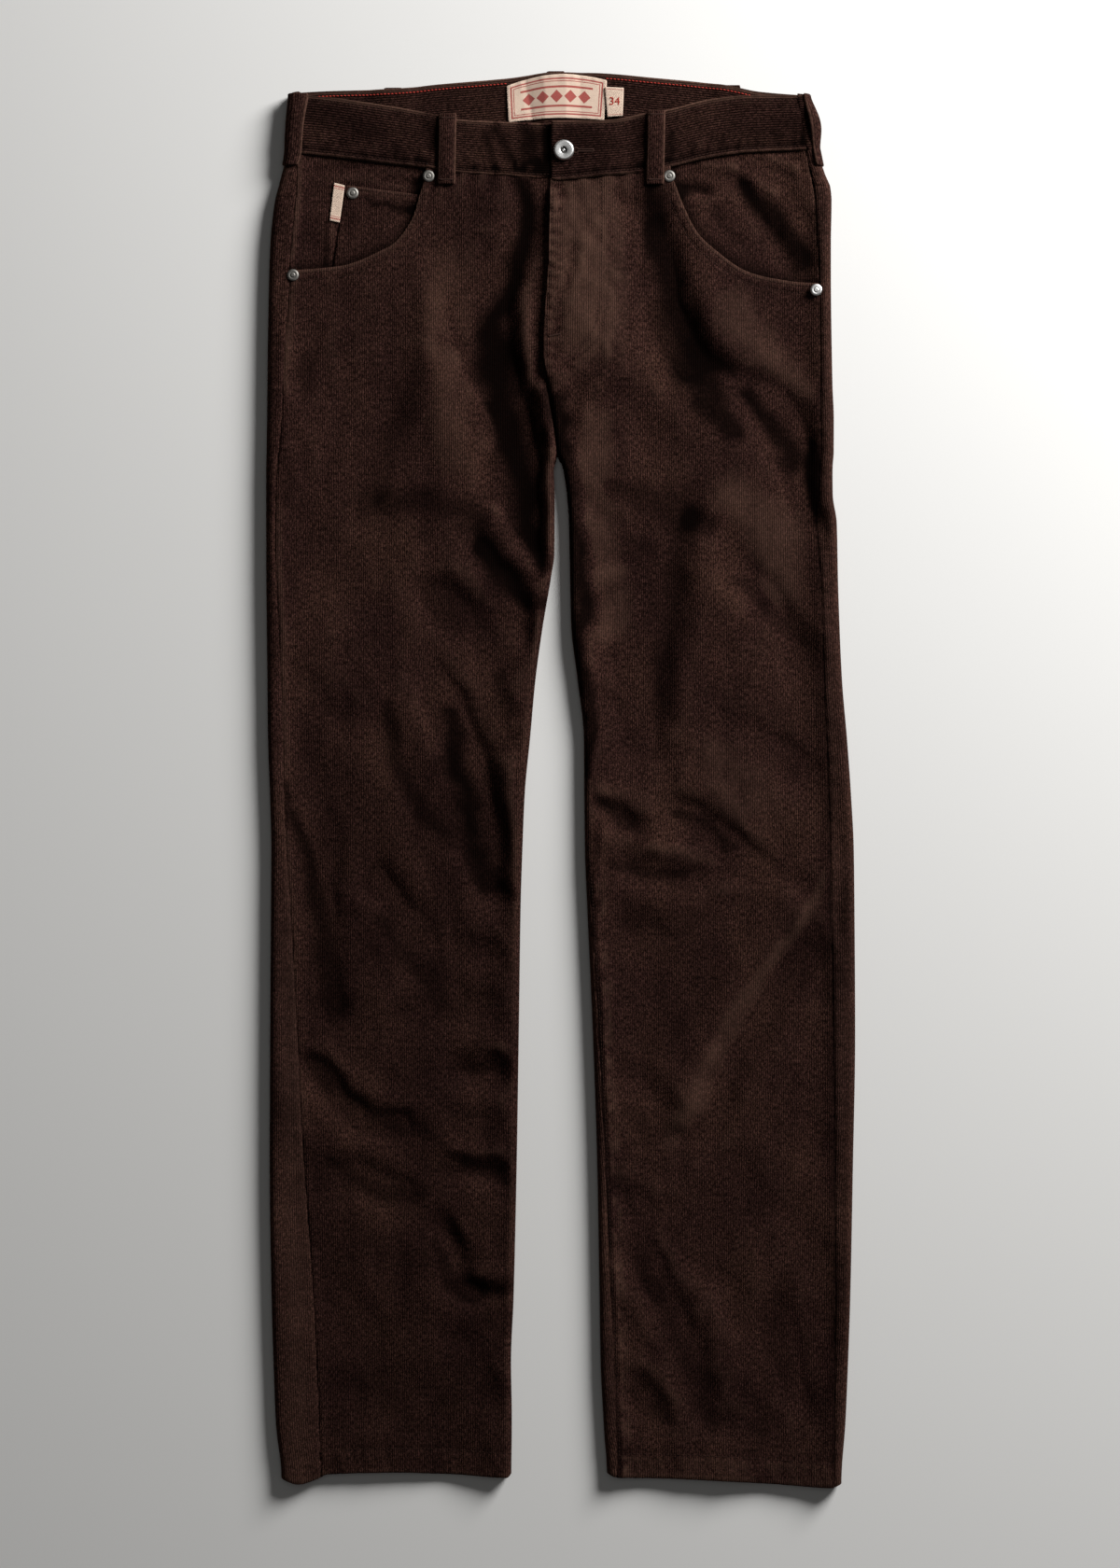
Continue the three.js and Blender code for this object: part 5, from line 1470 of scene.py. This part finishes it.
# The rows as stitches of one thread, kept as a mesh.
def sewn(name, rows, thread, width):
    points, edges = [], []
    for row in rows:
        first = len(points)
        points += (np.asarray(row) / 1000).tolist()
        edges += [[first + i, first + i + 1] for i in range(len(row) - 1)]
    mesh = bpy.data.meshes.new(name + "Path")
    mesh.from_pydata(points, edges, [])
    path = placed(name + "Path", mesh)
    mod = path.modifiers.new("stitches", "NODES")
    mod.node_group = stitches
    mod[stitchSockets["Pitch"]] = stitchSizes["pitch"] / 1000
    mod[stitchSockets["Length"]] = stitchSizes["length"] / 1000
    mod[stitchSockets["Width"]] = width / 1000
    mod[stitchSockets["Thread"]] = thread
    bpy.context.view_layer.update()
    done = bpy.data.meshes.new_from_object(path.evaluated_get(bpy.context.evaluated_depsgraph_get()))
    path.modifiers.clear()
    bpy.data.objects.remove(path)
    done.name = name
    return placed(name, done)


brownStitches = sewn("brownStitches", stitchRows(), brownThread, stitchSizes["width"])
redStitches = sewn("redStitches", redRows(), redThread, stitchSizes["redWidth"])
print("stitches:", len(brownStitches.data.polygons), "faces brown,", len(redStitches.data.polygons), "red")


# A thick line of thread: buttonhole edge and bar tacks.
def cordedLine(name, points, radius, closed=False, sides=8, flat=0.6):
    p = np.array(points, float)
    n = len(p)
    ahead = np.roll(p, -1, 0) - np.roll(p, 1, 0)
    if not closed:
        ahead[0], ahead[-1] = p[1] - p[0], p[-1] - p[-2]
    ahead /= np.linalg.norm(ahead, axis=1)[:, None]
    sideways = np.cross(ahead, [0, 0, 1])
    sideways /= np.linalg.norm(sideways, axis=1)[:, None]
    up = np.cross(sideways, ahead)
    a = np.linspace(0, 2 * math.pi, sides, endpoint=False)
    rings = (p[:, None] + sideways[:, None] * np.cos(a)[None, :, None] * radius
             + up[:, None] * np.sin(a)[None, :, None] * radius * flat)
    points = rings.reshape(-1, 3)
    faces = []
    last = n if closed else n - 1
    for i in range(last):
        j = (i + 1) % n
        for k in range(sides):
            m = (k + 1) % sides
            faces.append([i * sides + k, i * sides + m, j * sides + m, j * sides + k])
    if not closed:
        faces += [list(range(sides))[::-1], list(range((n - 1) * sides, n * sides))]
    return toMesh(name, points, faces)


def buttonhole():
    y0 = buttonSizes["y"]
    outline = [(27.4, y0 + 0.9)] + [(x, y0 + 0.9) for x in np.linspace(25, 14, 12)]
    for t in np.linspace(0.5, 2 * math.pi - 0.5, 14):
        outline.append((13 + 2.2 * math.cos(t), y0 + 2.2 * math.sin(t)))
    outline += [(x, y0 - 0.9) for x in np.linspace(14, 25, 12)] + [(27.4, y0 - 0.9), (28, y0)]
    line = np.array(outline)
    z = bandFace("right", line[:, 0], line[:, 1]) + 0.1
    return cordedLine("buttonholeEdge", np.column_stack([line, z]), 0.75, True)


# A short thick row of thread from a to b on a face.
def barTack(name, a, b, face, radius=0.9):
    line = np.array([mix(np.array(a, float), np.array(b, float), t) for t in np.linspace(0, 1, 14)])
    return cordedLine(name, np.column_stack([line, face(line[:, 0], line[:, 1])]), radius)


tacks = [buttonhole(), barTack("flyTack", (-10, 374), (0, 376), lambda x, y: frontFace("right", x, y) + 0.15)]
for side in ("left", "right"):
    x0, top, bottom = beltLoops["front"][side]
    for label, y in (("Low", bottom + 3), ("High", top - 3)):
        lift = lambda x, yy: (topHeight(side, x, np.minimum(yy, at(bandFront[side], "top", x)))
                              + smooth(-9, -1, yy - at(bandFront[side], "bottom", x)) * clothSizes["bandLift"]
                              + beltLoops["wall"] + 0.75)
        shift = (y - 535) * 0.02
        ends = (x0 - 5.6 + shift, y), (x0 + 5.6 + shift, y)
        tacks.append(barTack("loopTack" + side.capitalize() + label, *ends, lift, 0.8))


# The plain size number on the tag.
def sizeNumber():
    data = bpy.data.curves.new("sizeNumber", "FONT")
    data.body = "34"
    data.size = 0.0095
    data.align_x, data.align_y = "CENTER", "CENTER"
    data.extrude = 0.00012
    letters = placed("sizeNumberCurve", data)
    bpy.context.view_layer.update()
    mesh = bpy.data.meshes.new_from_object(letters.evaluated_get(bpy.context.evaluated_depsgraph_get()))
    bpy.data.objects.remove(letters)
    points = np.empty(len(mesh.vertices) * 3)
    mesh.vertices.foreach_get("co", points)
    points = points.reshape(-1, 3)
    points[:, :2] += [0.0458, 0.574]
    points[:, 2] += (clothSizes["bandWall"] + 1.0 + 2 * labels["wall"] + 0.3) / 1000
    mesh.vertices.foreach_set("co", points.ravel())
    mesh.name = "sizeNumber"
    return placed("sizeNumber", mesh)


number = sizeNumber()

# Finishes, frame and the cloth's cut sizes.
cuts = {
    "front": (0.262, 1.16), "back": (0.3, 1.12), "yoke": (0.27, 0.09), "pocket": (0.14, 0.12),
    "band": (0.26, 0.046), "bandBack": (0.5, 0.05), "loop": (0.017, 0.062), "coin": (0.085, 0.085),
}


def surfaceArea(obj):
    return sum(p.area for p in obj.data.polygons) / 2


# Material, body and slot for one piece; a cloth's cut goes into a sum that is not kept.
def dress(obj, node, material, cut=None):
    obj.data.materials.clear()
    obj.data.materials.append(material)
    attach(obj, "root")
    if node:
        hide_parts(node)
    if cut:
        min(surfaceArea(obj), cut[0] * cut[1])


for piece, node in cloth:
    kind = node.split("_")[0]
    onWaist = kind == "waistband"
    key = {"front": "front", "back": "back", "yoke": "yoke", "pocket": "pocket", "coin": "coin",
           "belt": "loop", "waistband": "bandBack" if node.endswith("back") else "band"}[kind]
    dress(piece, node, waistCloth if onWaist else panelCloth, cuts[key])
for piece, node, size, motif, cut, on in (
        (mainLabel, "main_label", (84, 36), "main", (0.086, 0.044), "waistbandBack"),
        (sizeTag, "size_tag", (14.5, 24), "tag", (0.017, 0.028), "waistbandBack"),
        (sideTab, "side_tab", (8.5, 32), "tab", (0.01, 0.036), "pocketBearerLeft")):
    dress(piece, node, labelFinish(piece.name + "Weave", size, motif), cut)
dress(number, None, threadFinish("redPrint"))
brightNickel, dullNickel, holeShadeNickel = [metalFinish(name) for name in metals]
dress(metal[0], "button", brightNickel)
# The eyelet's dark metal is painted shade in the button's hole.
dress(metal[1], None, holeShadeNickel)
for i, cap in enumerate(metal[2:]):
    dress(cap, f"rivet_{i + 1}", brightNickel if i == 4 else dullNickel)
for piece in tacks:
    dress(piece, None, brownThread)
dress(brownStitches, None, brownThread)
dress(redStitches, None, redThread)
print("dressed", len(cloth), "cloth pieces")


# Floor, light and camera.
studio = {
    "floorReach": 6, "floorHeight": -0.0004,
    "floor": (0.78, 0.772, 0.752, 1), "floorPatch": (0.7, 0.69, 0.67, 1),
    "keyPlace": (1.78, 1.78, 1.16), "keySize": 1.3, "keyPower": 142,
    "ceilingPlace": (0, 0.3, 4.2), "ceilingSize": 3.0, "ceilingPower": 8, "world": 0.035,
    "lens": 85, "pictureHeight": 1.3272, "middle": (-0.0004, -0.0041),
}


def makeFloor():
    mesh = bpy.data.meshes.new("floor")
    r, z = studio["floorReach"], studio["floorHeight"]
    mesh.from_pydata([(-r, -r, z), (r, -r, z), (r, r, z), (-r, r, z)], [], [(0, 1, 2, 3)])
    floor = placed("floor", mesh)
    f = Finish("paleFloor")
    place = f.node("ShaderNodeTexCoord", None, 3)
    grain = f.noise(place, 2.0, 3.0)
    f.feed("Base Color", f.blend((grain * 0.12).within(), studio["floor"], studio["floorPatch"]))
    f.feed("Roughness", 0.85)
    f.feed("Specular IOR Level", 0.2)
    floor.data.materials.append(f.material)


def areaLight(name, place, size, power, target=(0, 0, 0)):
    data = bpy.data.lights.new(name, "AREA")
    data.shape, data.size, data.energy = "DISK", size, power
    lamp = placed(name, data)
    lamp.location = place
    lamp.rotation_euler = (Vector(target) - Vector(place)).to_track_quat("-Z", "Y").to_euler()


makeFloor()
areaLight("key", studio["keyPlace"], studio["keySize"], studio["keyPower"], (0.1, 0.1, 0))
areaLight("ceiling", studio["ceilingPlace"], studio["ceilingSize"], studio["ceilingPower"])
world = bpy.data.worlds.new("softRoom")
world.use_nodes = True
world.node_tree.nodes["Background"].inputs[0].default_value = (1, 0.99, 0.97, 1)
world.node_tree.nodes["Background"].inputs[1].default_value = studio["world"]
bpy.context.scene.world = world
camera = placed("camera", bpy.data.cameras.new("camera"))
camera.data.lens = studio["lens"]
camera.data.sensor_width = 36
camera.data.clip_end = 30
rise = studio["lens"] * studio["pictureHeight"] / 36
camera.location = (studio["middle"][0], studio["middle"][1], rise + 0.008)
camera.rotation_euler = (0, 0, 0)
bpy.context.scene.camera = camera
bpy.context.scene.view_settings.view_transform = "Standard"

print("scene ready")
